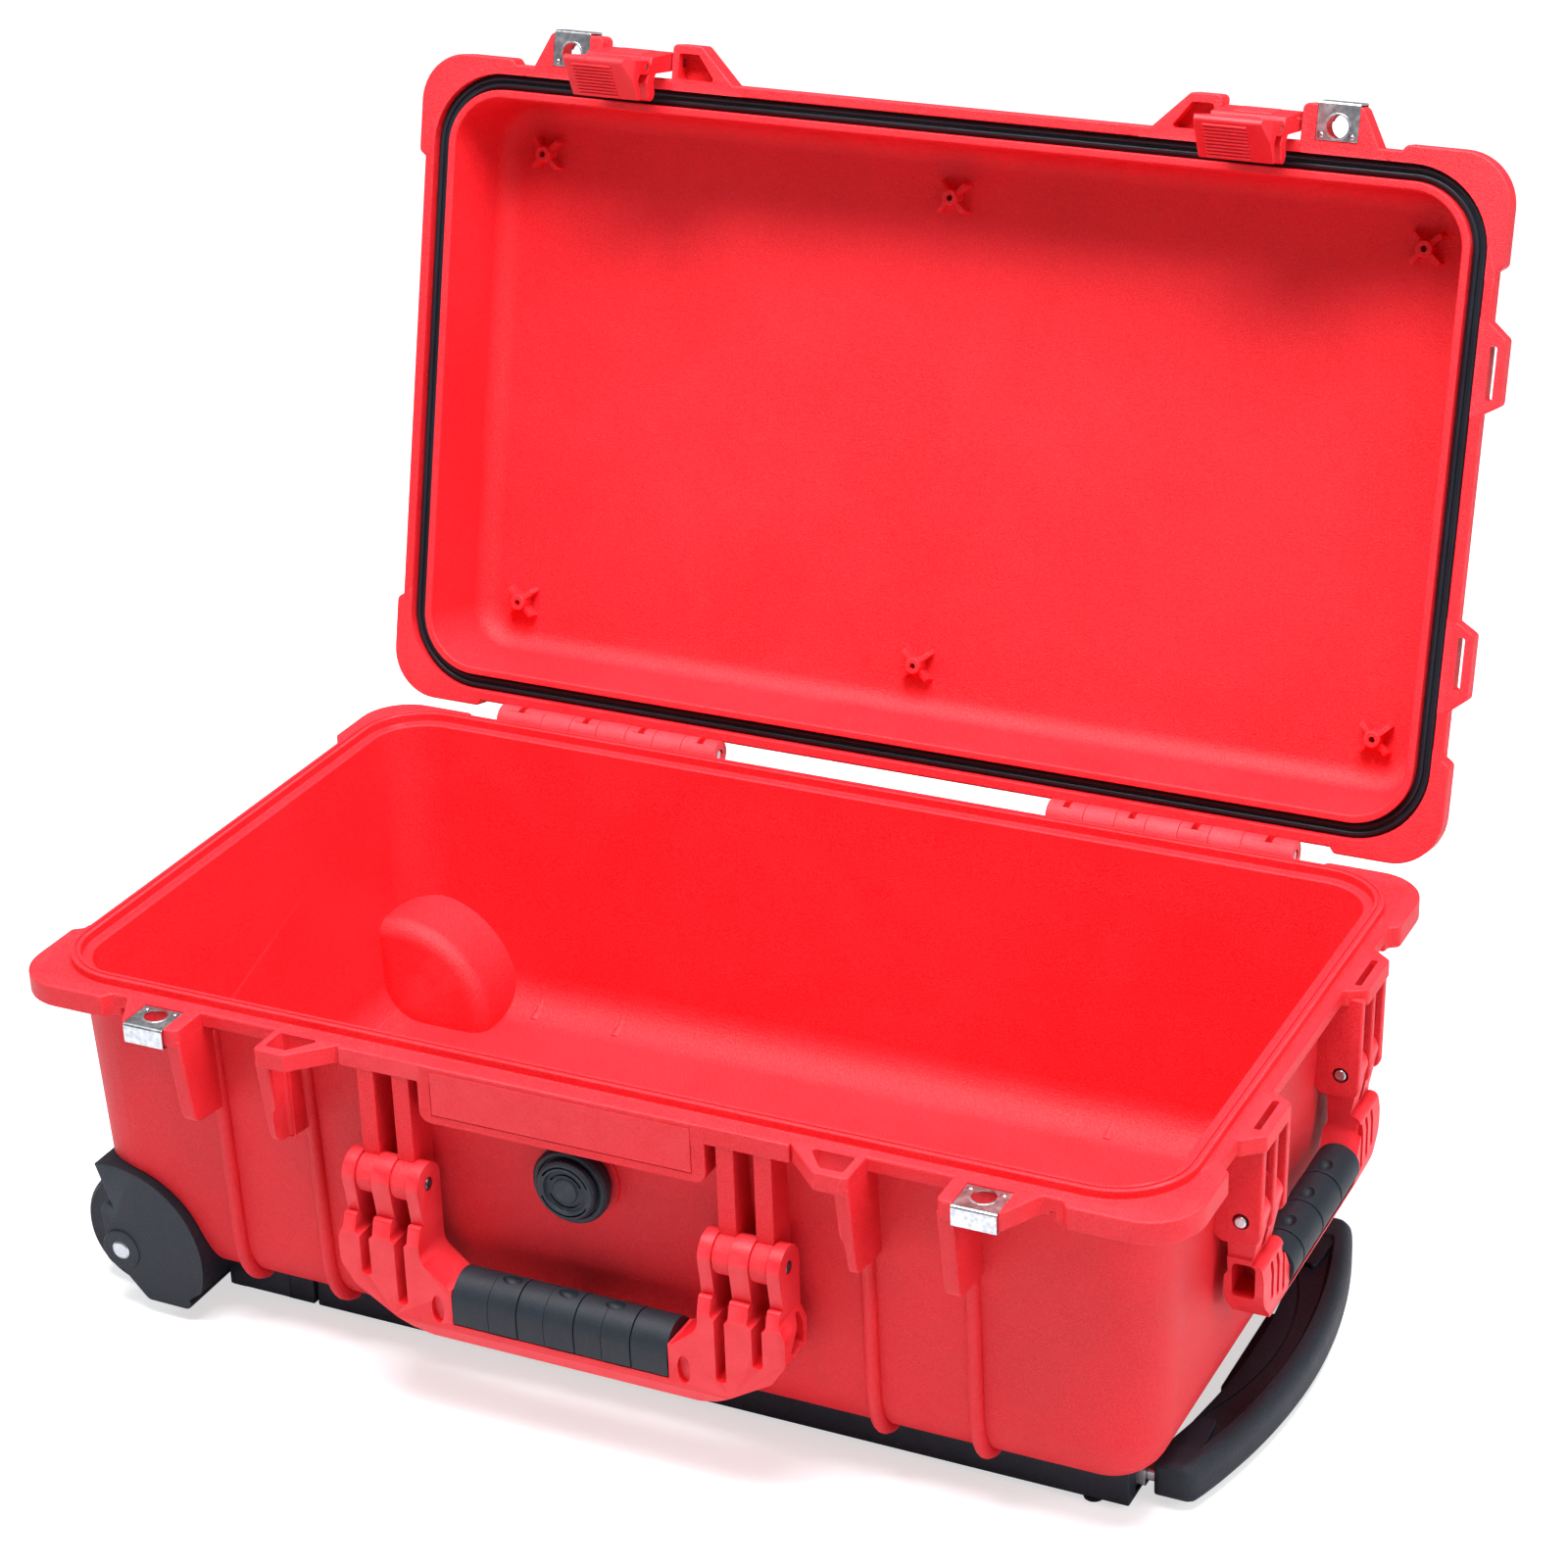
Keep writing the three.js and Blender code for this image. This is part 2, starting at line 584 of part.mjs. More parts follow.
function sideHandleGrip() {
  const grip = prism([
    [262.3, 76.3], [272.6, 76.3], [275.2, 82], [275, 90], [271.6, 95], [266, 96.4], [260, 95],
    [257.2, 90], [257.2, 85], [262.3, 85],
  ], 'y', -43.7, 43.7);
  const dimples = [-20, 0, 20].map((y) => {
    const oval = new THREE.CylinderGeometry(4.6, 4.6, 6, 14);
    oval.rotateX(Math.PI / 2);
    oval.scale(1, 1.5, 1);
    oval.translate(266, y, 96);
    return toSolid(oval);
  });
  return cut(grip, dimples);
}

// Purge valve in the front wall

function valveBody() {
  return join([rod('y', 0, 123, 17.4, -153.4, -148.4, 28), rod('y', 0, 123, 5.9, -149, -130.8, 20)]);
}

function valveCap() {
  const cap = rod('y', 0, 123, 13.6, -157.4, -153.75, 28);
  const recess = rod('y', 0, 123, 9.6, -160, -156.2, 24);
  return cap.subtract(recess);
}

function valveSeal() {
  return rod('y', 0, 123, 15.6, -148.05, -144.6, 28).subtract(rod('y', 0, 123, 6.3, -150, -140, 20));
}

function valveNut() {
  return rod('y', 0, 123, 10.5, -135.6, -131.2, 6).subtract(rod('y', 0, 123, 6.3, -140, -130, 20));
}

// Wheels and their housings, front side; the rear ones are mirrored

function wheelHousing() {
  const arc = [];
  for (let step = 0; step <= 12; step += 1) {
    const angle = THREE.MathUtils.degToRad(-18 + step * 9);
    arc.push([axleX + housingRadius * Math.cos(angle), wheelRadius + housingRadius * Math.sin(angle)]);
  }
  const outline = [
    [-199.4, 7], ...arc, [-248.2, 71.8], [-248.6, 60], [-246.4, 36], [-241, 22], [-226, 7.2],
  ];
  const cheekBlock = prism(outline, 'y', -housingOuterY, -housingInnerY);
  const pocket = join([
    rod('y', axleX, wheelRadius, wheelRadius + 2.6, -wheelInnerY - wheelWidth - 3, -wheelInnerY + 1.4, 32),
    block(-290, axleX, -wheelInnerY - wheelWidth - 3, -wheelInnerY + 1.4, -5, wheelRadius + 33),
    block(axleX - 33, axleX + 20, -wheelInnerY - wheelWidth - 3, -wheelInnerY + 1.4, -5, wheelRadius),
  ]);
  const arm = block(-202, -158, -114.4, -102.4, 3.4, 19.4);
  const armLow = block(-202, -158, -114.4, -81, 15.6, 19.4);
  const innerArm = block(-202, -158, -84.6, -81, 3.4, 19.4);
  const arch = rod('y', -183, -6, 15, -120, -80, 24);
  const body = join([cheekBlock, arm, armLow, innerArm]);
  const bore = rod('y', axleX, wheelRadius, 3 + gap, -150, -100);
  return cut(body, [pocket, arch, bore]);
}

function wheelTyre() {
  const half = wheelWidth / 2;
  const points = [
    [21, -half], [28, -half], [wheelRadius - 0.6, -half + 2], [wheelRadius, -half + 4.5],
    [wheelRadius, half - 4.5], [wheelRadius - 0.6, half - 2], [28, half], [21, half], [21, -half],
  ].map(([radius, y]) => new THREE.Vector2(radius, y));
  const tyre = new THREE.LatheGeometry(points, 32);
  tyre.translate(axleX, -wheelInnerY - half, wheelRadius);
  return toSolid(tyre);
}

function wheelHub() {
  const half = wheelWidth / 2;
  const middle = -wheelInnerY - half;
  const rim = rod('y', axleX, wheelRadius, 20.6, middle - half + 1, middle + half - 1, 32);
  const centre = rod('y', axleX, wheelRadius, 8.4, middle - half - 4, middle + half + 4, 16);
  const dish = [middle - half, middle + half].map((face) => (
    rod('y', axleX, wheelRadius, 17, face - 3, face + 3, 20).subtract(centre)
  ));
  const bore = rod('y', axleX, wheelRadius, 6 + gap, middle - half - 4, middle + half + 4, 16);
  return cut(rim, [...dish, bore]);
}

function wheelBush() {
  const half = wheelWidth / 2 - 0.6;
  const middle = -wheelInnerY - wheelWidth / 2;
  return rod('y', axleX, wheelRadius, 6, middle - half, middle + half, 14)
    .subtract(rod('y', axleX, wheelRadius, 3 + gap, -150, -90, 14));
}

// Rail: the plastic channel under the base that carries a telescoping tube

function boxTube(halfY, halfZ, thick, x0, x1) {
  const [y0, y1] = [-railCentreY - halfY, -railCentreY + halfY];
  const [z0, z1] = [tubeCentreZ - halfZ, tubeCentreZ + halfZ];
  const bore = block(x0 - 1, x1 + 1, y0 + thick, y1 - thick, z0 + thick, z1 - thick);
  return block(x0, x1, y0, y1, z0, z1).subtract(bore);
}

function rail() {
  const section = [[-112.4, 19.4], [-81.6, 19.4], [-81.6, 2.2], [-113.4, 2.2]];
  const body = prism(section, 'x', railStartX, railEndX);
  const [y0, y1] = [-railCentreY - 9.4, -railCentreY + 9.4];
  const hollow = block(railStartX - 1, railEndX + 1, y0, y1, tubeCentreZ - 6.4, tubeCentreZ + 6.4);
  return body.subtract(hollow);
}

function crossBar() {
  return block(-150, -132, -81.2, 81.2, 8, 19.4);
}

function railFoot() {
  return rod('z', 214, -108.4, 4.4, 0, 1.9, 24);
}

// Pull handle: a bowed grip on the two inner tubes

const tubeStartX = -150;

function pullHandleGrip() {
  const shape = new THREE.Shape();
  shape.moveTo(237.6, -105);
  shape.lineTo(252, -105.6);
  shape.quadraticCurveTo(255.6, -105.4, 257, -101);
  shape.quadraticCurveTo(291, 0, 257, 101);
  shape.quadraticCurveTo(255.6, 105.4, 252, 105.6);
  shape.lineTo(237.6, 105);
  shape.lineTo(237.6, 84);
  shape.quadraticCurveTo(256, 0, 237.6, -84);
  const bow = extrude(shape, 'z', 4, 21);
  const rimShape = new THREE.Shape();
  rimShape.moveTo(230, -90);
  rimShape.lineTo(246, -90);
  rimShape.quadraticCurveTo(272, 0, 246, 90);
  rimShape.lineTo(230, 90);
  const panelRecess = extrude(rimShape, 'z', 17.2, 23);
  const triggerBay = block(240, 262, -32, 32, 2, 13);
  const tubeSockets = [-railCentreY, railCentreY].map((y) => (
    block(230, 246, y - 5.4, y + 5.4, tubeCentreZ - 3.1, tubeCentreZ + 3.1)
  ));
  return cut(bow, [panelRecess, triggerBay, ...tubeSockets]);
}

function releaseTrigger() {
  return join([block(241, 249, -31, 31, 4.6, 12.4), block(248.9, 256, -31, 31, 9, 12.4)]);
}

function innerTube() {
  return boxTube(5.1, 2.8, 1.1, tubeStartX + 20, 245.4);
}

// The assembly

const model = new THREE.Group();
const lid = new THREE.Group();
lid.position.set(0, hingeY, hingeZ);
lid.rotation.x = -THREE.MathUtils.degToRad(openAngle);
model.add(lid);
const lidContents = new THREE.Group();
lidContents.position.set(0, -hingeY, -hingeZ);
lid.add(lidContents);

function addPiece(parent, name, solid, look, x = 0) {
  const mesh = new THREE.Mesh(toGeometry(solid), new THREE.MeshStandardMaterial(look));
  mesh.name = name;
  mesh.position.x = x;
  parent.add(mesh);
}

function addMirrored(parent, names, make, mirror, look) {
  addPiece(parent, names[0], make(), look);
  addPiece(parent, names[1], mirror(make()), look);
}

for (const [name, part] of baseParts()) {
  addPiece(model, name, part, red);
}
addMirrored(model, ['base_padlock_plate_right', 'base_padlock_plate_left'],
  () => padlockPlate(partingZ - 1.5, 161, 1), mirrorX, steel);
addMirrored(model, ['hinge_pin_right', 'hinge_pin_left'],
  () => rod('x', hingeY, hingeZ, pinRadius, 86.4, 205), mirrorX, steel);
addMirrored(model, ['front_handle_pin_right', 'front_handle_pin_left'],
  () => rod('x', handlePinY, handlePinZ, pinRadius, 64.6, 102), mirrorX, darkSteel);
addMirrored(model, ['side_handle_pin_front', 'side_handle_pin_rear'],
  () => rod('y', sidePinX, sidePinZ, pinRadius, -81.4, -46), mirrorY, steel);
addPiece(model, 'valve_body', valveBody(), black);
addPiece(model, 'valve_cap', valveCap(), black);
addPiece(model, 'valve_seal', valveSeal(), rubber);
addPiece(model, 'valve_nut', valveNut(), black);

addPiece(model, 'front_handle_frame', frontHandleFrame(), red);
addPiece(model, 'front_handle_grip', frontHandleGrip(), rubber);
addPiece(model, 'side_handle_frame', sideHandleFrame(), red);
addPiece(model, 'side_handle_grip', sideHandleGrip(), rubber);

addMirrored(model, ['wheel_housing_front', 'wheel_housing_rear'], wheelHousing, mirrorY, black);
addMirrored(model, ['wheel_tyre_front', 'wheel_tyre_rear'], wheelTyre, mirrorY, rubber);
addMirrored(model, ['wheel_hub_front', 'wheel_hub_rear'], wheelHub, mirrorY, black);
addMirrored(model, ['wheel_bush_front', 'wheel_bush_rear'], wheelBush, mirrorY, aluminium);
addMirrored(model, ['axle_front', 'axle_rear'],
  () => rod('y', axleX, wheelRadius, 3, -housingOuterY - 0.6, -housingInnerY + 0.2, 14), mirrorY, steel);
addMirrored(model, ['rail_front', 'rail_rear'], rail, mirrorY, black);
addMirrored(model, ['rail_foot_front', 'rail_foot_rear'], railFoot, mirrorY, rubber);
addPiece(model, 'rail_cross_bar', crossBar(), black);
addMirrored(model, ['outer_tube_front', 'outer_tube_rear'],
  () => boxTube(9.05, 6.05, 1.1, railStartX + 4, railEndX - 1), mirrorY, aluminium);
addMirrored(model, ['middle_tube_front', 'middle_tube_rear'],
  () => boxTube(7.3, 4.4, 1.2, tubeStartX + 8, railEndX + 3), mirrorY, aluminium);
addMirrored(model, ['inner_tube_front', 'inner_tube_rear'], innerTube, mirrorY, aluminium);
addPiece(model, 'pull_handle_grip', pullHandleGrip(), black);
addPiece(model, 'release_trigger', releaseTrigger(), black);

addPiece(lidContents, 'lid_shell', lidShell(), red);
addPiece(lidContents, 'lid_gasket', lidGasket(), rubber);
addMirrored(lidContents, ['lid_padlock_plate_right', 'lid_padlock_plate_left'],
  () => padlockPlate(lidZ + 1.4, lidZ + 11, -1), mirrorX, steel);
const latchStarts = { right: lugOuterX + 0.85, left: -tabInnerX + 0.85 };
for (const [side, startX] of Object.entries(latchStarts)) {
  addPiece(lidContents, `latch_hook_${side}`, latchHook(), red, startX);
  addPiece(lidContents, `latch_lever_${side}`, latchLever(), red, startX);
  addPiece(lidContents, `latch_pin_${side}`,
    rod('x', latchPinY, latchPinZ, pinRadius - 0.6, -4, latchWidth + 4), steel, startX);
  addPiece(lidContents, `lever_pin_${side}`,
    rod('x', leverPinY, leverPinZ, 1.5, 0.6, latchWidth - 0.6, 12), steel, startX);
}

const footprint = new THREE.Box3().setFromObject(model, true);
model.position.set(
  -(footprint.min.x + footprint.max.x) / 2,
  -(footprint.min.y + footprint.max.y) / 2,
  -footprint.min.z,
);

export default model;
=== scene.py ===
import json
import math

import bmesh
import bpy
from mathutils import Matrix, Vector

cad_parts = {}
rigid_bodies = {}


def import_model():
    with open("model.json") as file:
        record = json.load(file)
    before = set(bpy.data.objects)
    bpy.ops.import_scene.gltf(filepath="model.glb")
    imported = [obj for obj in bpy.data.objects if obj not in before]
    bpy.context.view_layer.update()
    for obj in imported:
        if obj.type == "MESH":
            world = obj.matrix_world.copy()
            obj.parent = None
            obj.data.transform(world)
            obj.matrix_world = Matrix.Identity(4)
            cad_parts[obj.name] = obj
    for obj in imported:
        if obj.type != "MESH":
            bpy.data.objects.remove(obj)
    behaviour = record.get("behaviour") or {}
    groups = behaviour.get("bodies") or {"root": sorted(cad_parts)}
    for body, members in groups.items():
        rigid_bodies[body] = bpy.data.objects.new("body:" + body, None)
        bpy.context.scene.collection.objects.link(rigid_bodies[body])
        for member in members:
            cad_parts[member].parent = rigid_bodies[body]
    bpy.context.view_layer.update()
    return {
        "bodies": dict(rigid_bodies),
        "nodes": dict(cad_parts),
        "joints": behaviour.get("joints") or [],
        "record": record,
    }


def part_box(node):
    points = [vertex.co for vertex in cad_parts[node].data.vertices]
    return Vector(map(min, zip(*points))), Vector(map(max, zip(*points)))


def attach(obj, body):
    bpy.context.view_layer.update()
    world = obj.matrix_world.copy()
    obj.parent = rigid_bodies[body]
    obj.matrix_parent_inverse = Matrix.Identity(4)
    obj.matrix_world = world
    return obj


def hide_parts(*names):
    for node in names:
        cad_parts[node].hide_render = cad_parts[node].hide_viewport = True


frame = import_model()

# Shapes are drawn in millimetres about the middle of the base, with the floor at z = 0.
# settle() brings a finished mesh into the frame, and turns it with the open lid if asked.
corner = {"halfX": 270.6, "halfY": 158.8, "fromX": 221.8, "fromY": 110.5, "radius": 43.0}
tabFront = -172.8
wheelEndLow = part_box("base_wheel_end")[0]
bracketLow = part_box("base_front_bracket_right")[0]
frameShift = Vector((wheelEndLow[0] * 1000 + corner["halfX"], bracketLow[1] * 1000 - tabFront, 0.0))
toFrame = Matrix.Scale(0.001, 4) @ Matrix.Translation(frameShift)
baseNodes = ["base_floor_pan", "base_wheel_end", "base_handle_end", "base_front_wall", "base_rear_wall",
             "base_front_bracket_right", "base_front_bracket_left", "base_side_bracket_front",
             "base_side_bracket_rear"]
lidOpen = 103.5
pinAxes = {"hinge": (162.0, 168.0), "front": (-157.0, 112.0), "side": (265.3, 128.0),
           "latch": (-164.3, 176.4),
           "lever": (-161.6, 147.2)}
padlockHole = (190.0, -163.6)
wallRibs = (130.0, 175.6)
sideWebs = ((46.5, 50.6), (61.4, 65.6), (75.8, 80.2))
tub = {
    "halfX": 251.0, "halfY": 139.7, "radius": 25.0, "parting": 169.5, "bottom": 20.0, "floor": 24.0,
    "lidParting": 170.1, "cornerSteps": 14,
}


def linked(name, data):
    obj = bpy.data.objects.new(name, data)
    bpy.context.scene.collection.objects.link(obj)
    return obj


def meshObject(name, verts, faces, edges=()):
    mesh = bpy.data.meshes.new(name)
    mesh.from_pydata([tuple(v) for v in verts], edges, faces)
    mesh.validate()
    return linked(name, mesh)


def recalc(obj):
    mesh = bmesh.new()
    mesh.from_mesh(obj.data)
    bmesh.ops.remove_doubles(mesh, verts=mesh.verts, dist=0.0005)
    bmesh.ops.recalc_face_normals(mesh, faces=mesh.faces)
    if mesh.calc_volume(signed=True) < 0:
        bmesh.ops.reverse_faces(mesh, faces=mesh.faces)
    mesh.to_mesh(obj.data)
    mesh.free()
    return obj


def axisPoint(axis, a, b, along):
    if axis == "x":
        return (along, a, b)
    if axis == "y":
        return (a, along, b)
    return (a, b, along)


def prism(name, outline, axis, start, end):
    count = len(outline)
    verts = [axisPoint(axis, a, b, start) for a, b in outline] + [axisPoint(axis, a, b, end) for a,
                                                                  b in outline]
    faces = [tuple(range(count)), tuple(range(2 * count - 1, count - 1, -1))]
    faces += [(i, (i + 1) % count, (i + 1) % count + count, i + count) for i in range(count)]
    return recalc(meshObject(name, verts, faces))


def box(name, x0, x1, y0, y1, z0, z1):
    return prism(name, [(x0, y0), (x1, y0), (x1, y1), (x0, y1)], "z", z0, z1)


def circle(a, b, radius, steps=32, scaleA=1.0, scaleB=1.0):
    angles = [2 * math.pi * i / steps for i in range(steps)]
    return [(a + scaleA * radius * math.cos(t), b + scaleB * radius * math.sin(t)) for t in angles]


def rod(name, axis, a, b, radius, start, end, steps=32):
    return prism(name, circle(a, b, radius, steps), axis, start, end)


def filleted(points, radius, steps=5):
    # points are (a, b) or (a, b, radius of its own)
    rounded = []
    count = len(points)
    for i, point in enumerate(points):
        here = Vector(point[:2])
        before = Vector(points[i - 1][:2])
        after = Vector(points[(i + 1) % count][:2])
        r = point[2] if len(point) > 2 else radius
        u, v = (before - here), (after - here)
        turn = u.angle(v, math.pi)
        if r <= 0 or turn > math.pi - 0.02:
            rounded.append(tuple(here))
            continue
        reach = min(r / math.tan(turn / 2), 0.49 * u.length, 0.49 * v.length)
        r = reach * math.tan(turn / 2)
        u.normalize()
        v.normalize()
        centre = here + (u + v).normalized() * (r / math.sin(turn / 2))
        first = here + u * reach - centre
        second = here + v * reach - centre
        sweep = first.angle_signed(second)
        for step in range(steps + 1):
            t = -sweep * step / steps
            c, s = math.cos(t), math.sin(t)
            rounded.append((centre.x + c * first.x - s * first.y, centre.y + s * first.x + c * first.y))
    return rounded


def roundedLoop(halfX, halfY, radius, z, steps=None):
    steps = steps or tub["cornerSteps"]
    loop = []
    for quarter, (sideX, sideY) in enumerate(((1, 1), (-1, 1), (-1, -1), (1, -1))):
        for step in range(steps + 1):
            t = (quarter + step / steps) * math.pi / 2
            loop.append((sideX * (halfX - radius) + radius * math.cos(t),
                         sideY * (halfY - radius) + radius * math.sin(t), z))
    return loop


def loft(name, loops, closed=False, caps=True):
    count = len(loops[0])
    verts = [v for loop in loops for v in loop]
    faces = []
    levels = len(loops) if closed else len(loops) - 1
    for level in range(levels):
        low, high = level * count, ((level + 1) % len(loops)) * count
        faces += [(low + i, low + (i + 1) % count, high + (i + 1) % count, high + i) for i in range(count)]
    if caps and not closed:
        faces.append(tuple(range(count))[::-1])
        faces.append(tuple(range((len(loops) - 1) * count, len(loops) * count)))
    return recalc(meshObject(name, verts, faces))


def rimLoft(name, section, closed=False, steps=None):
    # section is (grow, z): grow is how far outside the mouth of the tub the loop lies
    loops = []
    for g, z in section:
        radius = tub["radius"] + g if g > -5 else 20 + (g + 5) * 0.62
        loops.append(roundedLoop(tub["halfX"] + g, tub["halfY"] + g, radius, z, steps))
    return loft(name, loops, closed)


def lathe(name, section, axis, a, b, steps=64):
    # section is (radius, along) and closed
    loops = []
    for i in range(steps):
        t = 2 * math.pi * i / steps
        loops.append([axisPoint(axis, a + r * math.cos(t), b + r * math.sin(t), along) for r,
                      along in section])
    return loft(name, loops, closed=True)


def bake(obj):
    graph = bpy.context.evaluated_depsgraph_get()
    mesh = bpy.data.meshes.new_from_object(obj.evaluated_get(graph), depsgraph=graph)
    obj.modifiers.clear()
    obj.data = mesh
    return obj


def bevelled(obj, width, segments=3, angle=32):
    bevel = obj.modifiers.new("edges", "BEVEL")
    bevel.width = width
    bevel.segments = segments
    bevel.limit_method = "ANGLE"
    bevel.angle_limit = math.radians(angle)
    bevel.harden_normals = False
    return bake(obj)


def boolean(obj, others, operation):
    for other in others if isinstance(others, (list, tuple)) else [others]:
        step = obj.modifiers.new("step", "BOOLEAN")
        step.operation = operation
        step.solver = "MANIFOLD"
        step.object = other
        bake(obj)
        bpy.data.objects.remove(other)
    return obj


def joined(obj, *others):
    return boolean(obj, list(others), "UNION")


def without(obj, *others):
    return boolean(obj, list(others), "DIFFERENCE")


def within(obj, other):
    return boolean(obj, [other], "INTERSECT")


def copyOf(obj, matrix=None):
    twin = obj.copy()
    twin.data = obj.data.copy()
    bpy.context.scene.collection.objects.link(twin)
    if matrix is not None:
        twin.data.transform(matrix)
        if matrix.determinant() < 0:
            twin.data.flip_normals()
    return twin


def mirrored(obj, axis="x"):
    scale = {"x": (-1, 1, 1), "y": (1, -1, 1)}[axis]
    return copyOf(obj, Matrix.Diagonal((*scale, 1)))


def lidMatrix():
    pivot = Vector((0, *pinAxes["hinge"]))
    turn = Matrix.Rotation(-math.radians(lidOpen), 4, "X")
    return Matrix.Translation(pivot) @ turn @ Matrix.Translation(-pivot)


def settle(obj, name, body, material, nodes, onLid=False):
    obj.data.transform(toFrame @ lidMatrix() if onLid else toFrame)
    obj.name = name
    obj.data.name = name
    mesh = obj.data
    mesh.polygons.foreach_set("use_smooth", [True] * len(mesh.polygons))
    mesh.set_sharp_from_angle(angle=math.radians(38))
    normals = obj.modifiers.new("normals", "WEIGHTED_NORMAL")
    normals.keep_sharp = True
    normals.weight = 60
    bake(obj)
    obj.data.materials.clear()
    obj.data.materials.append(material)
    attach(obj, body)
    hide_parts(*nodes)


def addNode(tree, kind, inputs=None, links=None, **fields):
    node = tree.nodes.new(kind)
    for key, value in fields.items():
        setattr(node, key, value)
    for key, value in (inputs or {}).items():
        node.inputs[key].default_value = value
    for key, source in (links or {}).items():
        tree.links.new(source, node.inputs[key])
    return node


def geometryTree(name, sizes):
    # sizes is {input name: (socket type, value)}
    tree = bpy.data.node_groups.new(name, "GeometryNodeTree")
    tree.interface.new_socket("Geometry", in_out="INPUT", socket_type="NodeSocketGeometry")
    for label, (kind, value) in sizes.items():
        tree.interface.new_socket(label, in_out="INPUT", socket_type=kind).default_value = value
    tree.interface.new_socket("Geometry", in_out="OUTPUT", socket_type="NodeSocketGeometry")
    return tree, tree.nodes.new("NodeGroupInput").outputs


def endTree(tree, geometry, material):
    solid = addNode(tree, "GeometryNodeRealizeInstances", links={"Geometry": geometry})
    paint = addNode(tree, "GeometryNodeSetMaterial", {"Material": material}, {"Geometry": solid.outputs[0]})
    out = tree.nodes.new("NodeGroupOutput")
    tree.links.new(paint.outputs[0], out.inputs[0])


def runTree(obj, tree, sizes=None):
    grow = obj.modifiers.new("shape", "NODES")
    grow.node_group = tree
    for item in tree.interface.items_tree:
        if item.in_out == "INPUT" and sizes and item.name in sizes:
            grow[item.identifier] = sizes[item.name]
    return bake(obj)


def mathNode(tree, operation, a, b=None):
    node = addNode(tree, "ShaderNodeMath", operation=operation)
    for i, value in enumerate((a, b)):
        if value is None:
            continue
        if isinstance(value, (int, float)):
            node.inputs[i].default_value = value
        else:
            tree.links.new(value, node.inputs[i])
    return node.outputs[0]


def loopPath(name, growths, z, steps=24):
    verts, edges = [], []
    for grow in growths:
        loop = roundedLoop(tub["halfX"] + grow, tub["halfY"] + grow, tub["radius"] + grow, z, steps)
        first = len(verts)
        verts += loop
        edges += [(first + i, first + (i + 1) % len(loop)) for i in range(len(loop))]
    return meshObject(name, verts, [], edges)


def polylines(name, paths):
    verts, edges = [], []
    for path in paths:
        first = len(verts)
        verts += path
        edges += [(first + i, first + i + 1) for i in range(len(path) - 1)]
    return meshObject(name, verts, [], edges)


def shaderGroup(name, inputs, outputs):
    group = bpy.data.node_groups.new(name, "ShaderNodeTree")
    for label, (kind, value) in inputs.items():
        socket = group.interface.new_socket(label, in_out="INPUT", socket_type=kind)
        if value is not None:
            socket.default_value = value
    for label, kind in outputs.items():
        group.interface.new_socket(label, in_out="OUTPUT", socket_type=kind)
    return group, group.nodes.new("NodeGroupInput").outputs, group.nodes.new("NodeGroupOutput").inputs


def mouldedGrainGroup():
    # spark-eroded tool texture: a fine pebble, a finer grit and slow swells of gloss
    group, given, out = shaderGroup(
        "MouldedGrain",
        {"Position": ("NodeSocketVector", None), "Pebble size": ("NodeSocketFloat", 1100.0),
         "Swell size": ("NodeSocketFloat", 16.0)},
        {"Height": "NodeSocketFloat", "Swell": "NodeSocketFloat", "Speck": "NodeSocketFloat"})
    pebble = addNode(group, "ShaderNodeTexNoise", {"Detail": 2.0, "Roughness": 0.55},
                     {"Vector": given["Position"], "Scale": given["Pebble size"]})
    gritScale = mathNode(group, "MULTIPLY", given["Pebble size"], 2.7)
    grit = addNode(group, "ShaderNodeTexNoise", {"Detail": 1.0},
                   {"Vector": given["Position"], "Scale": gritScale})
    height = mathNode(group, "ADD", pebble.outputs[0], mathNode(group, "MULTIPLY", grit.outputs[0], 0.5))
    swell = addNode(group, "ShaderNodeTexNoise", {"Detail": 4.0, "Roughness": 0.6, "Distortion": 0.6},
                    {"Vector": given["Position"], "Scale": given["Swell size"]})
    group.links.new(height, out["Height"])
    group.links.new(swell.outputs[0], out["Swell"])
    group.links.new(pebble.outputs[0], out["Speck"])
    return group


def paintedEdgeHighlightGroup():
    # painted highlight: a brighter colour laid on the sharp outer edges, broken up by noise; it changes the
    # colour only
    group, given, out = shaderGroup(
        "PaintedEdgeHighlight",
        {"Position": ("NodeSocketVector", None), "Strength": ("NodeSocketFloat", 0.5)},
        {"Mask": "NodeSocketFloat"})
    geometry = addNode(group, "ShaderNodeNewGeometry")
    ridge = addNode(group, "ShaderNodeMapRange", {"From Min": 0.51, "From Max": 0.60},
                    {"Value": geometry.outputs["Pointiness"]})
    broken = addNode(group, "ShaderNodeTexNoise", {"Scale": 90.0, "Detail": 3.0},
                     {"Vector": given["Position"]})
    brokenEdgeHighlight = mathNode(group, "MULTIPLY", ridge.outputs[0], broken.outputs[0])
    group.links.new(mathNode(group, "MULTIPLY", brokenEdgeHighlight, given["Strength"]), out["Mask"])
    return group


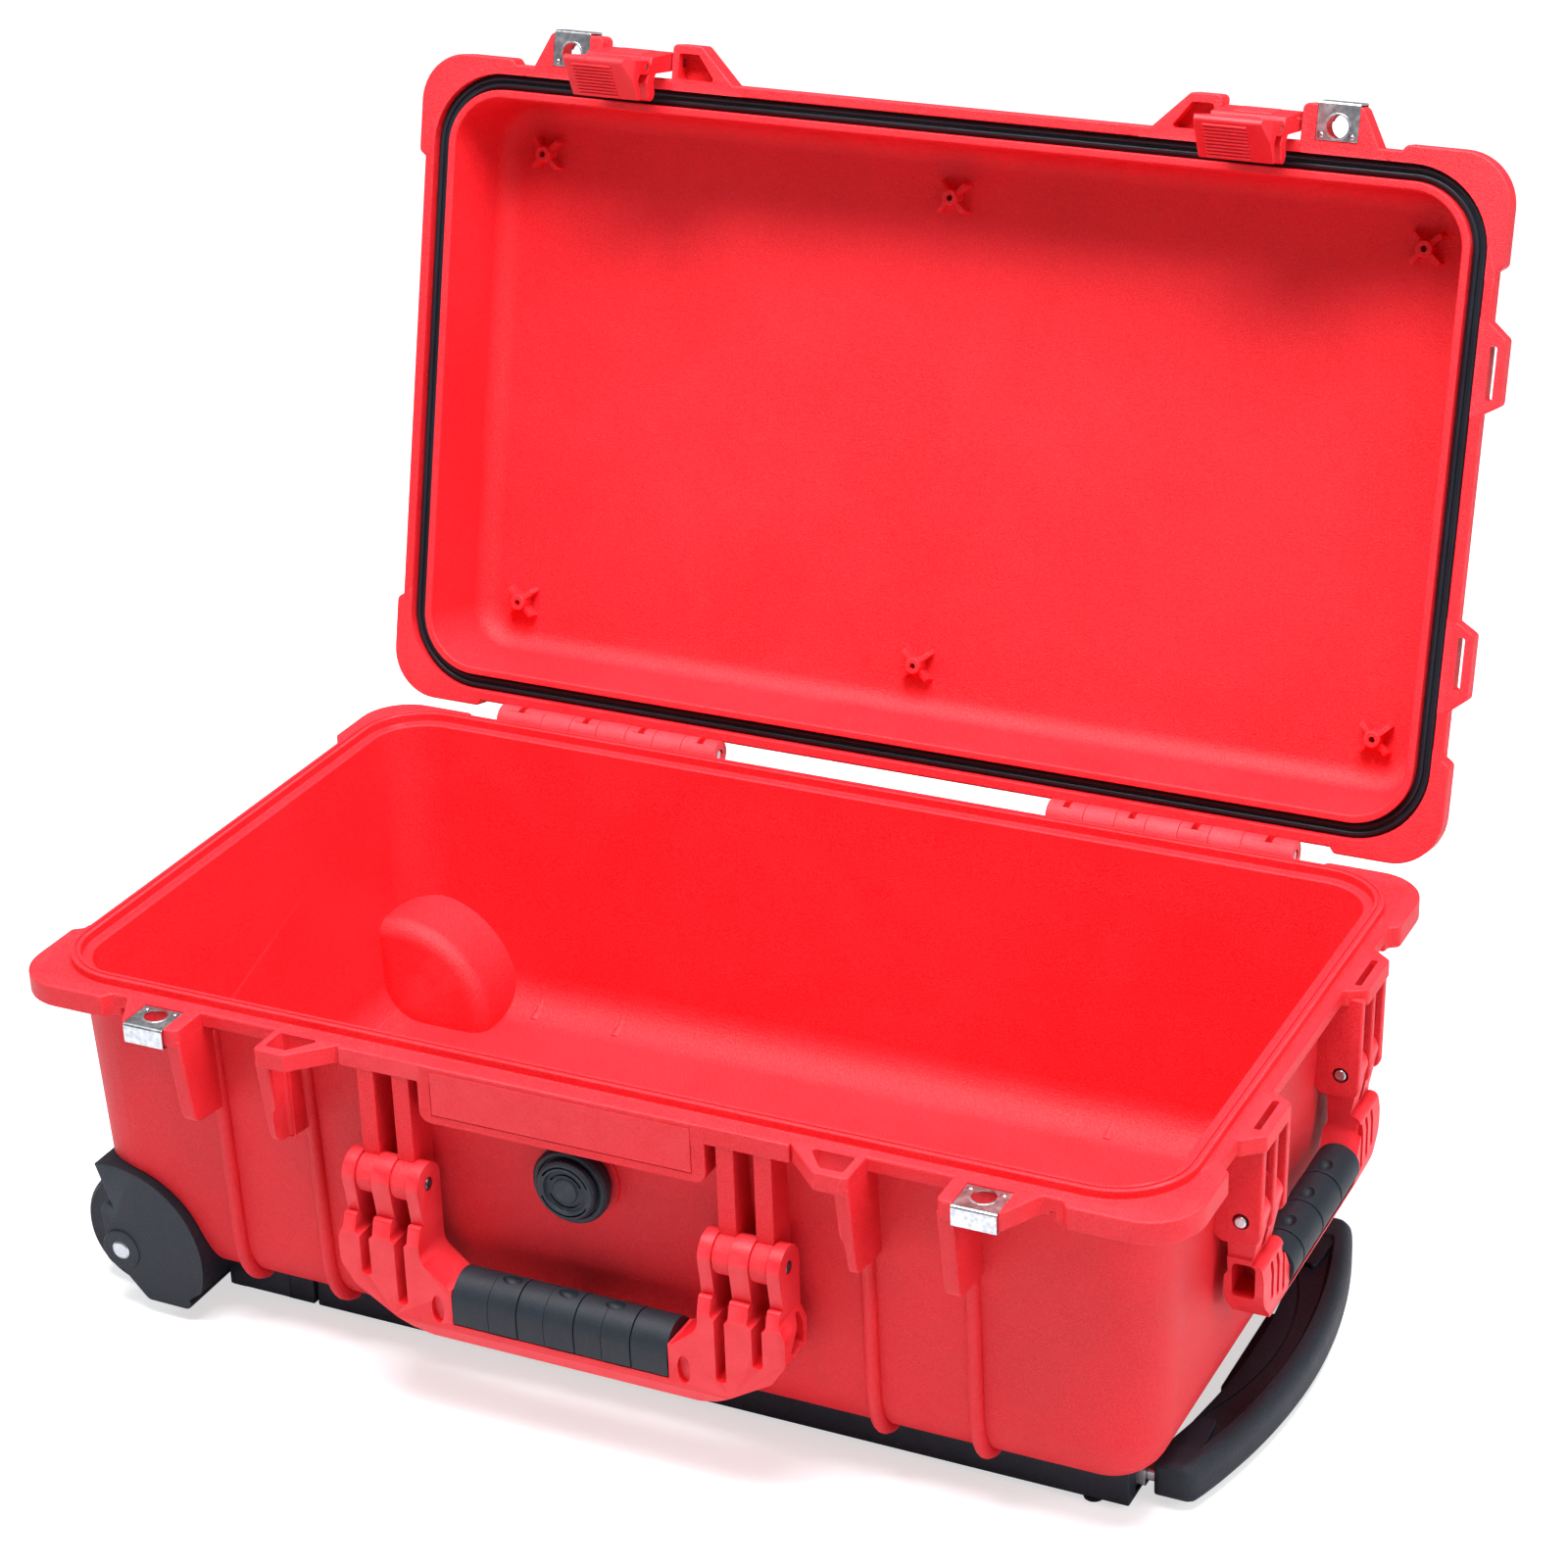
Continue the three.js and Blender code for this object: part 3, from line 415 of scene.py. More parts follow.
def scuffGroup():
    # short hair scratches lying in two directions
    group, given, out = shaderGroup(
        "Scuffs",
        {"Position": ("NodeSocketVector", None), "Density": ("NodeSocketFloat", 60.0)},
        {"Mask": "NodeSocketFloat"})
    masks = []
    for angle, stretch in ((0.5, (9.0, 0.7, 0.7)), (-0.35, (0.7, 0.8, 8.0))):
        turned = addNode(group, "ShaderNodeMapping", {"Rotation": (0.2, angle, 0.3), "Scale": stretch},
                         {"Vector": given["Position"]})
        lines = addNode(group, "ShaderNodeTexNoise", {"Detail": 2.0, "Distortion": 0.3},
                        {"Vector": turned.outputs[0], "Scale": given["Density"]})
        masks.append(addNode(group, "ShaderNodeMapRange", {"From Min": 0.62, "From Max": 0.72},
                             {"Value": lines.outputs[0]}).outputs[0])
    group.links.new(mathNode(group, "MAXIMUM", masks[0], masks[1]), out["Mask"])
    return group


grain = mouldedGrainGroup()
edgeHighlightTree = paintedEdgeHighlightGroup()
scuffs = scuffGroup()


def newMaterial(name):
    material = bpy.data.materials.new(name)
    material.use_nodes = True
    tree = material.node_tree
    shader = tree.nodes["Principled BSDF"]
    position = addNode(tree, "ShaderNodeTexCoord").outputs["Object"]
    return material, tree, shader, position


def mixColor(tree, factor, a, b, blend="MIX"):
    node = tree.nodes.new("ShaderNodeMix")
    node.data_type = "RGBA"
    node.blend_type = blend
    for socket, value in ((node.inputs[0], factor), (node.inputs[6], a), (node.inputs[7], b)):
        if hasattr(value, "is_output"):
            tree.links.new(value, socket)
        else:
            socket.default_value = value
    return node.outputs[2]


def plastic(name, look):
    material, tree, shader, position = newMaterial(name)
    place = {"Position": position}
    tex = addNode(tree, "ShaderNodeGroup", {"Pebble size": look["pebble"], "Swell size": look["swell"]},
                  place,
                  node_tree=grain)
    edgeHighlightMask = addNode(tree, "ShaderNodeGroup", {"Strength": look["edgeHighlightStrength"]}, place, node_tree=edgeHighlightTree)
    rub = addNode(tree, "ShaderNodeGroup", {"Density": look["scuffs"]}, place, node_tree=scuffs)
    tone = addNode(tree, "ShaderNodeMapRange", {"From Min": 0.32, "From Max": 0.68},
                   {"Value": tex.outputs["Swell"]})
    body = mixColor(tree, tone.outputs[0], look["deep"], look["color"])
    fleck = addNode(tree, "ShaderNodeMapRange", {"From Min": 0.35, "From Max": 0.75, "To Max": look["fleck"]},
                    {"Value": tex.outputs["Speck"]})
    body = mixColor(tree, fleck.outputs[0], body, look["fleckAndHighlight"])
    # painted highlight: the sharp edges are mixed towards the lighter colour
    body = mixColor(tree, edgeHighlightMask.outputs[0], body, look["fleckAndHighlight"])
    tree.links.new(body, shader.inputs["Base Color"])
    rough = addNode(tree, "ShaderNodeMapRange", {"From Min": 0.3, "From Max": 0.7, "To Min": look["rough"][0],
                                                 "To Max": look["rough"][1]}, {"Value": tex.outputs["Swell"]})
    smoother = mathNode(tree, "MULTIPLY", rub.outputs[0], -look["scuffGloss"])
    tree.links.new(mathNode(tree, "ADD", rough.outputs[0], smoother), shader.inputs["Roughness"])
    bump = addNode(tree, "ShaderNodeBump", {"Strength": look["bump"], "Distance": look["depth"]},
                   {"Height": tex.outputs["Height"]})
    tree.links.new(bump.outputs[0], shader.inputs["Normal"])
    shader.inputs["Specular IOR Level"].default_value = look["specular"]
    return material


# the third, lighter colour is both the grain's random flecks and a painted highlight laid on sharp edges
redLook = {
    "color": (0.74, 0.007, 0.014, 1), "deep": (0.66, 0.003, 0.008, 1), "fleckAndHighlight": (0.95, 0.085, 0.11, 1),
    "pebble": 1500.0, "swell": 14.0, "scuffs": 55.0, "edgeHighlightStrength": 0.5, "fleck": 0.30, "rough": (0.44, 0.56),
    "scuffGloss": 0.05, "bump": 0.8, "depth": 0.0004, "specular": 0.3,
}
redPlainLook = {**redLook, "bump": 0.25, "fleck": 0.18, "rough": (0.38, 0.48)}
# the third, lighter colour is both the grain's random flecks and a painted highlight laid on sharp edges
blackLook = {
    "color": (0.012, 0.017, 0.025, 1), "deep": (0.007, 0.010, 0.016, 1), "fleckAndHighlight": (0.055, 0.072, 0.10, 1),
    "pebble": 1300.0, "swell": 18.0, "scuffs": 50.0, "edgeHighlightStrength": 0.45, "fleck": 0.22, "rough": (0.42, 0.55),
    "scuffGloss": 0.08, "bump": 0.8, "depth": 0.0004, "specular": 0.32,
}
rubberLook = {**blackLook, "color": (0.009, 0.013, 0.019, 1), "deep": (0.006, 0.008, 0.012, 1),
              "rough": (0.50, 0.62), "bump": 0.3, "edgeHighlightStrength": 0.25, "fleck": 0.12}
gasketLook = {**rubberLook, "rough": (0.34, 0.42), "bump": 0.12, "fleck": 0.05}
redPlastic = plastic("RedMouldedShell", redLook)
redSmooth = plastic("RedMouldedHardware", redPlainLook)
blackPlastic = plastic("BlackMouldedPlastic", blackLook)
blackRubber = plastic("BlackGripRubber", rubberLook)
gasketRubber = plastic("GasketRubber", gasketLook)


def metal(name, look):
    material, tree, shader, position = newMaterial(name)
    spangle = addNode(tree, "ShaderNodeTexVoronoi", {"Scale": look["spangle"], "Randomness": 1.0},
                      {"Vector": position})
    cloud = addNode(tree, "ShaderNodeTexNoise", {"Scale": look["spangle"] * 0.4, "Detail": 4.0},
                    {"Vector": position})
    drawn = addNode(tree, "ShaderNodeMapping", {"Scale": look["drawn"]}, {"Vector": position})
    lines = addNode(tree, "ShaderNodeTexNoise", {"Scale": 900.0, "Detail": 2.0}, {"Vector": drawn.outputs[0]})
    patch = mathNode(tree, "MULTIPLY", spangle.outputs["Distance"], cloud.outputs[0])
    tone = addNode(tree, "ShaderNodeMapRange", {"From Min": 0.05, "From Max": 0.45}, {"Value": patch})
    tree.links.new(mixColor(tree, tone.outputs[0], look["dark"], look["color"]), shader.inputs["Base Color"])
    rough = addNode(tree, "ShaderNodeMapRange", {"From Min": 0.2, "From Max": 0.8, "To Min": look["rough"][0],
                                                 "To Max": look["rough"][1]}, {"Value": cloud.outputs[0]})
    tree.links.new(rough.outputs[0], shader.inputs["Roughness"])
    bump = addNode(tree, "ShaderNodeBump", {"Strength": 0.25, "Distance": 0.00008},
                   {"Height": lines.outputs[0]})
    tree.links.new(bump.outputs[0], shader.inputs["Normal"])
    shader.inputs["Metallic"].default_value = 1.0
    return material


steelLook = {"color": (0.74, 0.75, 0.77, 1), "dark": (0.46, 0.48, 0.51, 1), "spangle": 420.0,
             "drawn": (0.15, 1.0, 1.0), "rough": (0.24, 0.42)}
plateSteel = metal("PlatedSteel", steelLook)
pinSteel = metal("PinSteel", {**steelLook, "color": (0.60, 0.61, 0.63, 1), "spangle": 900.0})
darkSteel = metal("DarkPinSteel", {**steelLook, "color": (0.16, 0.18, 0.21, 1),
                                   "dark": (0.08, 0.09, 0.11, 1)})
tubeAluminium = metal("AnodisedTube", {**steelLook, "color": (0.78, 0.79, 0.81, 1),
                                       "dark": (0.68, 0.69, 0.71, 1),
                                       "spangle": 60.0, "drawn": (0.01, 1.0, 1.0)})
print("materials ready")


def walled(points):
    # rounds the (grow, z, radius) corners of an open section, whose two ends stay as they are
    first, last = tuple(points[0][:2]), tuple(points[-1][:2])
    rounded = filleted([(*p[:2], p[2] if len(p) > 2 else 0) for p in points], 0, 5)
    return [first] + [p for p in rounded if p not in (first, last)] + [last]


def arcPoints(a, b, radius, start, end, steps=14):
    angles = [math.radians(start + (end - start) * i / steps) for i in range(steps + 1)]
    return [(a + radius * math.cos(t), b + radius * math.sin(t)) for t in angles]


def baseTub():
    z = tub["parting"]
    bottom = tub["bottom"]
    floor = tub["floor"]
    section = walled([
        (-34, bottom), (-30.4, bottom), *arcPoints(-30.4, bottom + 30, 30, -84, 0, 12),
        (4.9, z - 6.7, 0.8), (14.7, z - 6.7, 1.0), (14.7, z, 1.3), (9.2, z, 0.6),
        (9.2, z + 4, 0.7), (7.5, z + 4, 0.2), (7.3, z + 3.1, 0.2), (6.5, z + 3.1, 0.2), (6.3, z + 4, 0.2),
        (4.7, z + 4, 0.6), (4.7, z - 0.3, 0.3), (0.0, z - 0.3, 0.9), (-0.7, z - 23, 0), (-1.15, z - 24, 0),
        *arcPoints(-24.5, floor + 20, 20, 0, -84, 12), (-24.5, floor), (-28, floor),
    ])
    return rimLoft("tub", section)


def cornerBlocks(low, high):
    halfX, halfY, fromX, fromY = (corner[key] for key in ("halfX", "halfY", "fromX", "fromY"))
    blocks = []
    for sideX in (1, -1):
        for sideY in (1, -1):
            outline = [(fromX - 7, 148), (fromX - 7, halfY - 4.4, 2), (fromX - 3, halfY - 4.2, 2.5),
                       (fromX, halfY, 3), (halfX, halfY, corner["radius"]), (halfX, fromY, 3), (halfX - 4.4,
                                                                                                fromY - 3, 2.5),
                       (halfX - 4.6, fromY - 7, 2), (258, fromY - 7), (258, 125), (235, 148)]
            flat = filleted(outline, 0, 12)
            block = prism("corner", [(sideX * a, sideY * b) for a, b in flat], "z", low, high)
            blocks.append(bevelled(block, 1.1, 3, 40))
    return blocks


def bothX(obj):
    return [obj, mirrored(obj, "x")]


def tabSolids(low, high, plateFloor):
    # padlock tab and stacking lug on the right half; plateFloor is where the steel plate lies
    tab = prism("tab", filleted([(173.5, -148), (173.5, -172.8, 3), (201, -172.8, 3), (210.6, -154.6, 3),
                                 (214, -154.2, 2), (214, -148)], 0, 6), "z", low, high)
    tab = bevelled(tab, 0.8, 3)
    lug = prism("lug", filleted([(98, -148), (98, -154.4, 2), (103.4, -155.4, 3), (121.4, -172.7, 3),
                                 (136.2, -172.7, 2.4), (136.2, -148)], 0, 6), "z", low, high)
    lug = bevelled(lug, 0.8, 3)
    side = 1 if plateFloor > (low + high) / 2 else -1
    bed = (plateFloor, plateFloor + 6) if side > 0 else (plateFloor - 6, plateFloor)
    tab = without(tab, box("bed", 180.2, 199.8, -181, -156.8, *bed))
    return tab, lug


def lugOpening(radius, low, high):
    outline = [(112.8, -156.4), (122.4, -168.7), (132.7, -168.7), (132.7, -156.4)]
    return prism("lugOpening", filleted(outline, radius, 5), "z", low, high)


def sideLug(side, low, high):
    outline = [(258, side * 90), (267, side * 86.6, 2), (275.4, side * 79.6, 2.4), (275.4, side * 50.8, 2.4),
               (267.4, side * 46, 2), (258, side * 43)]
    return bevelled(prism("sideLug", filleted(outline, 0, 6), "z", low, high), 0.8)


def sideSlot(side, low):
    near, far = sorted((side * 52.2, side * 76.6))
    outline = [(268.2, near), (271.4, near), (271.4, far), (268.2, far)]
    return prism("slot", filleted(outline, 1.2, 4), "z", low, 190)


def webOutline(top):
    return filleted([(-172.6, top, 0), (-167.4, 130, 0), (-165.6, 121, 9), (-146, 118.6, 3), (-140.6, 118.6),
                     (-140.6, top)], 0, 6)


def ribPath(x, side):
    route = ((145.2, 158), (144.6, 148), (142.1, 92), (140.2, 50), (138.2, 39), (134.2, 30.4), (128.8, 25.4),
             (122.4, 22.6))
    return [(x, side * y, z) for y, z in route]


def ribTree():
    tree, given = geometryTree("WallRibs", {
        "Half width": ("NodeSocketFloat", 3.1), "Proud": ("NodeSocketFloat", 3.4), "Steps": ("NodeSocketInt",
                                                                                             20)})
    path = addNode(tree, "GeometryNodeMeshToCurve", links={"Mesh": given["Geometry"]})
    smooth = addNode(tree, "GeometryNodeCurveSplineType", {}, {"Curve": path.outputs[0]},
                     spline_type="CATMULL_ROM")
    finer = addNode(tree, "GeometryNodeResampleCurve", {"Count": 40}, {"Curve": smooth.outputs[0]},
                    mode="COUNT")
    ring = addNode(tree, "GeometryNodeCurvePrimitiveCircle", {"Radius": 1.0}, {"Resolution": given["Steps"]})
    oval = addNode(tree, "ShaderNodeCombineXYZ", {"Z": 1.0}, {"X": given["Half width"], "Y": given["Proud"]})
    squash = addNode(tree, "GeometryNodeTransform", {},
                     {"Geometry": ring.outputs[0], "Scale": oval.outputs[0]})
    swept = addNode(tree, "GeometryNodeCurveToMesh", {"Fill Caps": True},
                    {"Curve": finer.outputs[0], "Profile Curve": squash.outputs[0]})
    endTree(tree, swept.outputs[0], redPlastic)
    return tree


def wheelWellBump(grow, innerY, outerY, roundness, steps=56):
    section = filleted([(0.01, outerY, 0), (grow, outerY, 0), (grow, innerY, roundness), (0.01, innerY, 0)],
                       0, 6)
    return lathe("bump", section, "y", -238, 30.5, steps)


def makeBaseShell():
    z = tub["parting"]
    shell = baseTub()
    outer = rimLoft("outerForm", [(-31, tub["bottom"] + 0.6), *arcPoints(-30.8, tub["bottom"] + 30.4, 30, -84,
                                                                         0, 10),
                                  (4.2, 150)])
    for side in (-1, 1):
        bump = wheelWellBump(46.8, side * 98.6, side * 150, 9)
        shell = joined(shell, within(bump, copyOf(outer)))
    bpy.data.objects.remove(outer)
    for side in (-1, 1):
        bay = lathe("bay", [(0.01, side * 102.4), (43.7, side * 102.4), (43.7, side * 175),
                            (0.01, side * 175)], "y",
                    -238, 30.5, 56)
        shell = without(shell, bay)
    shell = joined(shell, *cornerBlocks(z - 10.4, z + 0.05))
    skirt = bevelled(prism("skirt", [(-158.0, z - 8.4), (-158.0, z + 0.04), (-150, z + 0.04),
                                     (-150, z - 8.4)], "x",
                           -104, 104), 0.7)
    panel = bevelled(prism("panel", filleted([(-66.4, z + 0.04), (66.4, z + 0.04), (66.4, 142.4, 5),
                                              (-66.4, 142.4, 5)],
                                             0, 6), "y", -158.1, -141), 0.7)
    labelEdge = prism("labelEdge", [(-60.4, z - 2), (60.4, z - 2), (60.4, 146.4), (-60.4, 146.4)], "y", -170,
                      -157.6)
    label = bevelled(prism("label", [(-60, z - 2.4), (60, z - 2.4), (60, 146.8), (-60, 146.8)], "y", -158.25,
                           -156),
                     0.15, 2)
    panel = joined(without(panel, labelEdge), label)
    pieces = [skirt, panel]
    for x0, x1 in ((71, 79), (87.8, 95.8)):
        fin = bevelled(box("fin", x0, x1, -157.6, -140.5, 112, z - 4), 0.5)
        barrel = bevelled(rod("barrel", "x", *pinAxes["front"], 8.8, x0, x1, 40), 0.9)
        pieces += bothX(joined(fin, barrel))
    tab, lug = tabSolids(z - 8.4, z + 0.04, z - 1.45)
    lockHole = rod("lockHole", "z", *padlockHole, 5.8, 150, 180, 40)
    tabWeb = bevelled(prism("tabWeb", webOutline(z - 5), "x", 173.5, 180.3), 1.2, 4)
    lugWeb = bevelled(prism("lugWeb", webOutline(z - 5), "x", 129.8, 136.2), 1.2, 4)
    lug = without(joined(lug, lugWeb), lugOpening(1.6, 120, 180))
    tab = without(joined(tab, tabWeb), lockHole)
    pieces += bothX(tab) + bothX(lug)
    pieces.append(rod("valvePad", "y", 0, 123, 18.6, -144.4, -140.4, 48))
    for side in (-1, 1):
        bracket = sideLug(side, z - 7.7, z + 0.04)
        for y0, y1 in sideWebs:
            low, high = sorted((side * y0, side * y1))
            web = prism("sideWeb", filleted([(252.4, z - 4), (274.4, z - 4, 0), (273.4, 117.6, 4),
                                             (256.5, 117.0, 4),
                                             (252.4, 122)], 0, 6), "y", low, high)
            bracket = joined(bracket, bevelled(web, 0.9))
        pieces.append(without(bracket, sideSlot(side, 140)))
    for x0, x1 in ((85.8, 104), (119.8, 134.3), (150.6, 165), (181, 205.6)):
        pieces += bothX(knuckleSolid(x0, x1, (z - 6.4, z + 0.04)))
    strap = bevelled(prism("strap", filleted([(141.4, 160.4), (158.5, 160.4, 2), (158.5, 157, 2),
                                              (143, 134, 2),
                                              (141.4, 134)], 0, 4), "x", 86, 205.4), 0.7)
    pieces += bothX(strap)
    ribs = polylines("ribs", [ribPath(x * side, end) for x in wallRibs for side in (1, -1)
                              for end in (-1, 1)])
    ribs = recalc(runTree(ribs, ribTree(), {"Proud": 3.5}))
    shell = joined(shell, *pieces)
    shell = joined(shell, ribs)
    pinHoles = [rod("pinHole", "x", *pinAxes["front"], 3.0, -99, 99, 24),
                rod("pinHole", "y", *pinAxes["side"], 3.6, -84, 84, 24),
                rod("pinHole", "x", *pinAxes["hinge"], 3.0, 85, 206, 24),
                rod("pinHole", "x", *pinAxes["hinge"], 3.0, -206, -85, 24)]
    return without(shell, *pinHoles)


def knuckleSolid(x0, x1, armZ, onLid=False):
    # one hinge knuckle and its arm; the small window shows the pin
    barrel = rod("barrel", "x", *pinAxes["hinge"], 7.0, x0, x1, 36)
    knuckle = bevelled(joined(barrel, box("arm", x0, x1, 150, 162, *armZ)), 0.7, 3)
    if onLid:
        return without(knuckle, box("window", x0 + 3.2, x1 - 3.2, 164.6, 175, 163.2, 172.8))
    middle = (x0 + x1) / 2
    return without(knuckle, box("window", middle - 1.7, middle + 1.7, 158.6, 165.4, 170.6, 180))


baseShell = makeBaseShell()
settle(baseShell, "BaseShell", "base", redPlastic, baseNodes)
print("base shell", len(baseShell.data.polygons))


def ellipsoid(name, centre, radii, steps=24):
    mesh = bmesh.new()
    bmesh.ops.create_uvsphere(mesh, u_segments=steps, v_segments=steps // 2, radius=1.0)
    data = bpy.data.meshes.new(name)
    mesh.to_mesh(data)
    mesh.free()
    data.transform(Matrix.Translation(centre) @ Matrix.Diagonal((*radii, 1)))
    return linked(name, data)


def copiesTree():
    # one copy of Piece at each point, each turned a further step about the axis
    tree, given = geometryTree("PlacedCopies", {
        "Piece": ("NodeSocketObject", None), "Turn step": ("NodeSocketFloat", 0.0),
        "Turn axis": ("NodeSocketVector", (0.0, 1.0, 0.0))})
    piece = addNode(tree, "GeometryNodeObjectInfo", links={"Object": given["Piece"]})
    index = addNode(tree, "GeometryNodeInputIndex")
    angle = mathNode(tree, "MULTIPLY", index.outputs[0], given["Turn step"])
    turn = addNode(tree, "ShaderNodeVectorMath", links={0: given["Turn axis"], "Scale": angle},
                   operation="SCALE")
    spots = addNode(tree, "GeometryNodeMeshToPoints", links={"Mesh": given["Geometry"]})
    placed = addNode(tree, "GeometryNodeInstanceOnPoints", links={
        "Points": spots.outputs[0], "Instance": piece.outputs["Geometry"], "Rotation": turn.outputs[0]})
    endTree(tree, placed.outputs[0], redPlastic)
    return tree


placedCopies = copiesTree()


def copies(name, piece, spots, step=0.0, axis=(0.0, 1.0, 0.0)):
    points = meshObject(name, spots, [])
    made = runTree(points, placedCopies, {"Piece": piece, "Turn step": step, "Turn axis": axis})
    bpy.data.objects.remove(piece)
    return recalc(made)


lidSizes = {"flange": 16.4, "depth": 46.0, "wall": 4.2, "boss": (3.9, 37.6), "bossRow": 112,
            "bossColumns": (-223.4, -6, 223.6)}


def lidBoss():
    tip = tub["lidParting"] + lidSizes["boss"][1]
    ceiling = tub["lidParting"] + lidSizes["depth"] + 1
    boss = bevelled(rod("boss", "z", 0, 0, lidSizes["boss"][0], tip, ceiling, 24), 0.5)
    for angle in (45, 135):
        web = prism("web", [(-10.4, ceiling), (-9.2, tip + 3.0), (-3.6, tip + 2.0), (3.6, tip + 2.0),
                            (9.2, tip + 3.0), (10.4, ceiling)], "y", -1.25, 1.25)
        web = bevelled(web, 0.3, 2)
        web.data.transform(Matrix.Rotation(math.radians(angle), 4, "Z"))
        boss = joined(boss, web)
    return without(boss, rod("hole", "z", 0, 0, 1.5, tip - 1, tip + 6, 20))


def makeLidShell():
    z = tub["lidParting"]
    top = z + lidSizes["depth"] + lidSizes["wall"]
    ceiling = z + lidSizes["depth"]
    reach = lidSizes["flange"]
    section = walled([
        (-24, ceiling), (-4, ceiling, 14), (0, z, 1.0), (3.6, z, 0.5), (3.6, z + 6, 0.4), (11.4, z + 6, 0.4),
        (11.4, z, 0.5), (reach, z, 1.2), (reach, z + 8.4, 1.2), (6.0, z + 8.4, 1.2), (1.5, top, 14), (-21,
                                                                                                      top),
    ])
    shell = rimLoft("lid", section)
    pieces = cornerBlocks(z - 0.04, z + 10.4)
    tab, lug = tabSolids(z - 0.04, z + 11, z + 1.4)
    tab = without(tab, rod("lockHole", "z", *padlockHole, 5.8, 150, 190, 40))
    pieces += bothX(tab) + bothX(without(lug, lugOpening(1.4, 160, z + 9)))
    for side in (-1, 1):
        pieces.append(without(sideLug(side, z - 0.04, z + 9), sideSlot(side, 150)))
    for x0, x1 in ((104.4, 119.4), (134.7, 150.2), (165.4, 180.6)):
        pieces += bothX(knuckleSolid(x0, x1, (z, 173.9), onLid=True))
    shell = joined(shell, *pieces)
    arch = [(146.2, 175), (144.9, 190), (142.9, 203), (139.2, 213.6), (133, 219.8), (125, 221.2), (60, 221.3)]
    paths = [[(side * x, y, h) for y, h in arch] + [(side * x, -y, h) for y, h in reversed(arch)]
             for x in wallRibs for side in (1, -1)]
    ribs = recalc(runTree(polylines("lidRibs", paths), ribTree(), {"Half width": 3.9, "Proud": 3.4}))
    shell = joined(shell, ribs)
    spots = [(x, y, 0) for x in lidSizes["bossColumns"] for y in (-lidSizes["bossRow"], lidSizes["bossRow"])]
    shell = joined(shell, copies("bosses", lidBoss(), spots))
    holes = [rod("pinHole", "x", *pinAxes["hinge"], 3.0, -206, 206, 24)]
    holes += [rod("pinHole", "x", *pinAxes["latch"], 2.4, x, x + 50, 24) for x in (129, -179)]
    groove = filleted([(3.6, z - 4), (11.4, z - 4), (11.4, z + 6), (3.6, z + 6)], 0.3, 3)
    return without(shell, rimLoft("groove", groove, closed=True), *holes)


lidShell = makeLidShell()
settle(lidShell, "LidShell", "lid", redPlastic, ["lid_shell"], onLid=True)
print("lid shell", len(lidShell.data.polygons))

gasketSizes = {"beads": (5.9, 9.2), "radius": 1.2, "low": 174.4, "base": (3.9, 11.1)}


def beadTree():
    tree, given = geometryTree("RimBeads", {
        "Radius": ("NodeSocketFloat", 1.35), "Steps": ("NodeSocketInt", 14)})
    path = addNode(tree, "GeometryNodeMeshToCurve", links={"Mesh": given["Geometry"]})
    ring = addNode(tree, "GeometryNodeCurvePrimitiveCircle",
                   links={"Radius": given["Radius"], "Resolution": given["Steps"]})
    swept = addNode(tree, "GeometryNodeCurveToMesh",
                    links={"Curve": path.outputs[0], "Profile Curve": ring.outputs[0]})
    endTree(tree, swept.outputs[0], gasketRubber)
    return tree


def makeGasket():
    low = gasketSizes["low"]
    inner, outer = gasketSizes["base"]
    section = [(inner, low + 1.7), (outer, low + 1.7), (outer, low + 0.5), (inner, low + 0.5)]
    strip = rimLoft("gasket", filleted(section, 0.3, 3), closed=True)
    paths = loopPath("beads", gasketSizes["beads"], low + 0.45)
    beads = runTree(paths, beadTree(), {"Radius": gasketSizes["radius"]})
    return joined(strip, recalc(beads))


settle(makeGasket(), "LidGasket", "lid", gasketRubber, ["lid_gasket"], onLid=True)
print("gasket")

plateSizes = {"from": 180.4, "to": 199.6, "thick": 0.9, "bend": -173.45, "hole": 5.4, "inner": -157.2}


def padlockPlate(face, back):
    # folded round the tab: the wide leg lies on the face, the short one behind
    thick = plateSizes["thick"]
    front = plateSizes["bend"]
    side = 1 if face[0] > back[0] else -1
    nearZ = max(face) if side > 0 else min(face)
    farZ = min(back) if side > 0 else max(back)
    outline = [(plateSizes["inner"], nearZ - side * thick), (plateSizes["inner"], nearZ, 0.25),
               (front - thick, nearZ, 1.3), (front - thick, farZ, 1.3), (-165, farZ, 0.25), (-165,
                                                                                             farZ + side * thick),
               (front, farZ + side * thick, 0.5), (front, nearZ - side * thick, 0.5)]
    plate = prism("plate", filleted(outline, 0, 5), "x", plateSizes["from"], plateSizes["to"])
    plate = without(bevelled(plate, 0.14, 2, 60), rod("hole", "z", *padlockHole, plateSizes["hole"], 140, 200,
                                                      48))
    for x in (183.0, 197.0):
        plate = joined(plate, ellipsoid("dimple", (x, -159.4, nearZ - side * 0.15), (0.9, 1.3, 0.55), 16))
        slit = prism("slit", filleted([(x - 1.7, -158.2), (x - 1.7, -161.2), (x - 1.3, -161.2),
                                       (x - 1.3, -158.2)],
                                      0.18, 3), "z", nearZ - 2, nearZ + 2)
        plate = without(plate, slit)
    lip = lathe("lip", filleted([(5.1, nearZ - side * 0.3), (5.1, nearZ + side * 0.22),
                                 (5.9, nearZ + side * 0.1),
                                 (6.1, nearZ - side * 0.3)], 0.1, 2), "z", *padlockHole, 48)
    return joined(plate, lip)


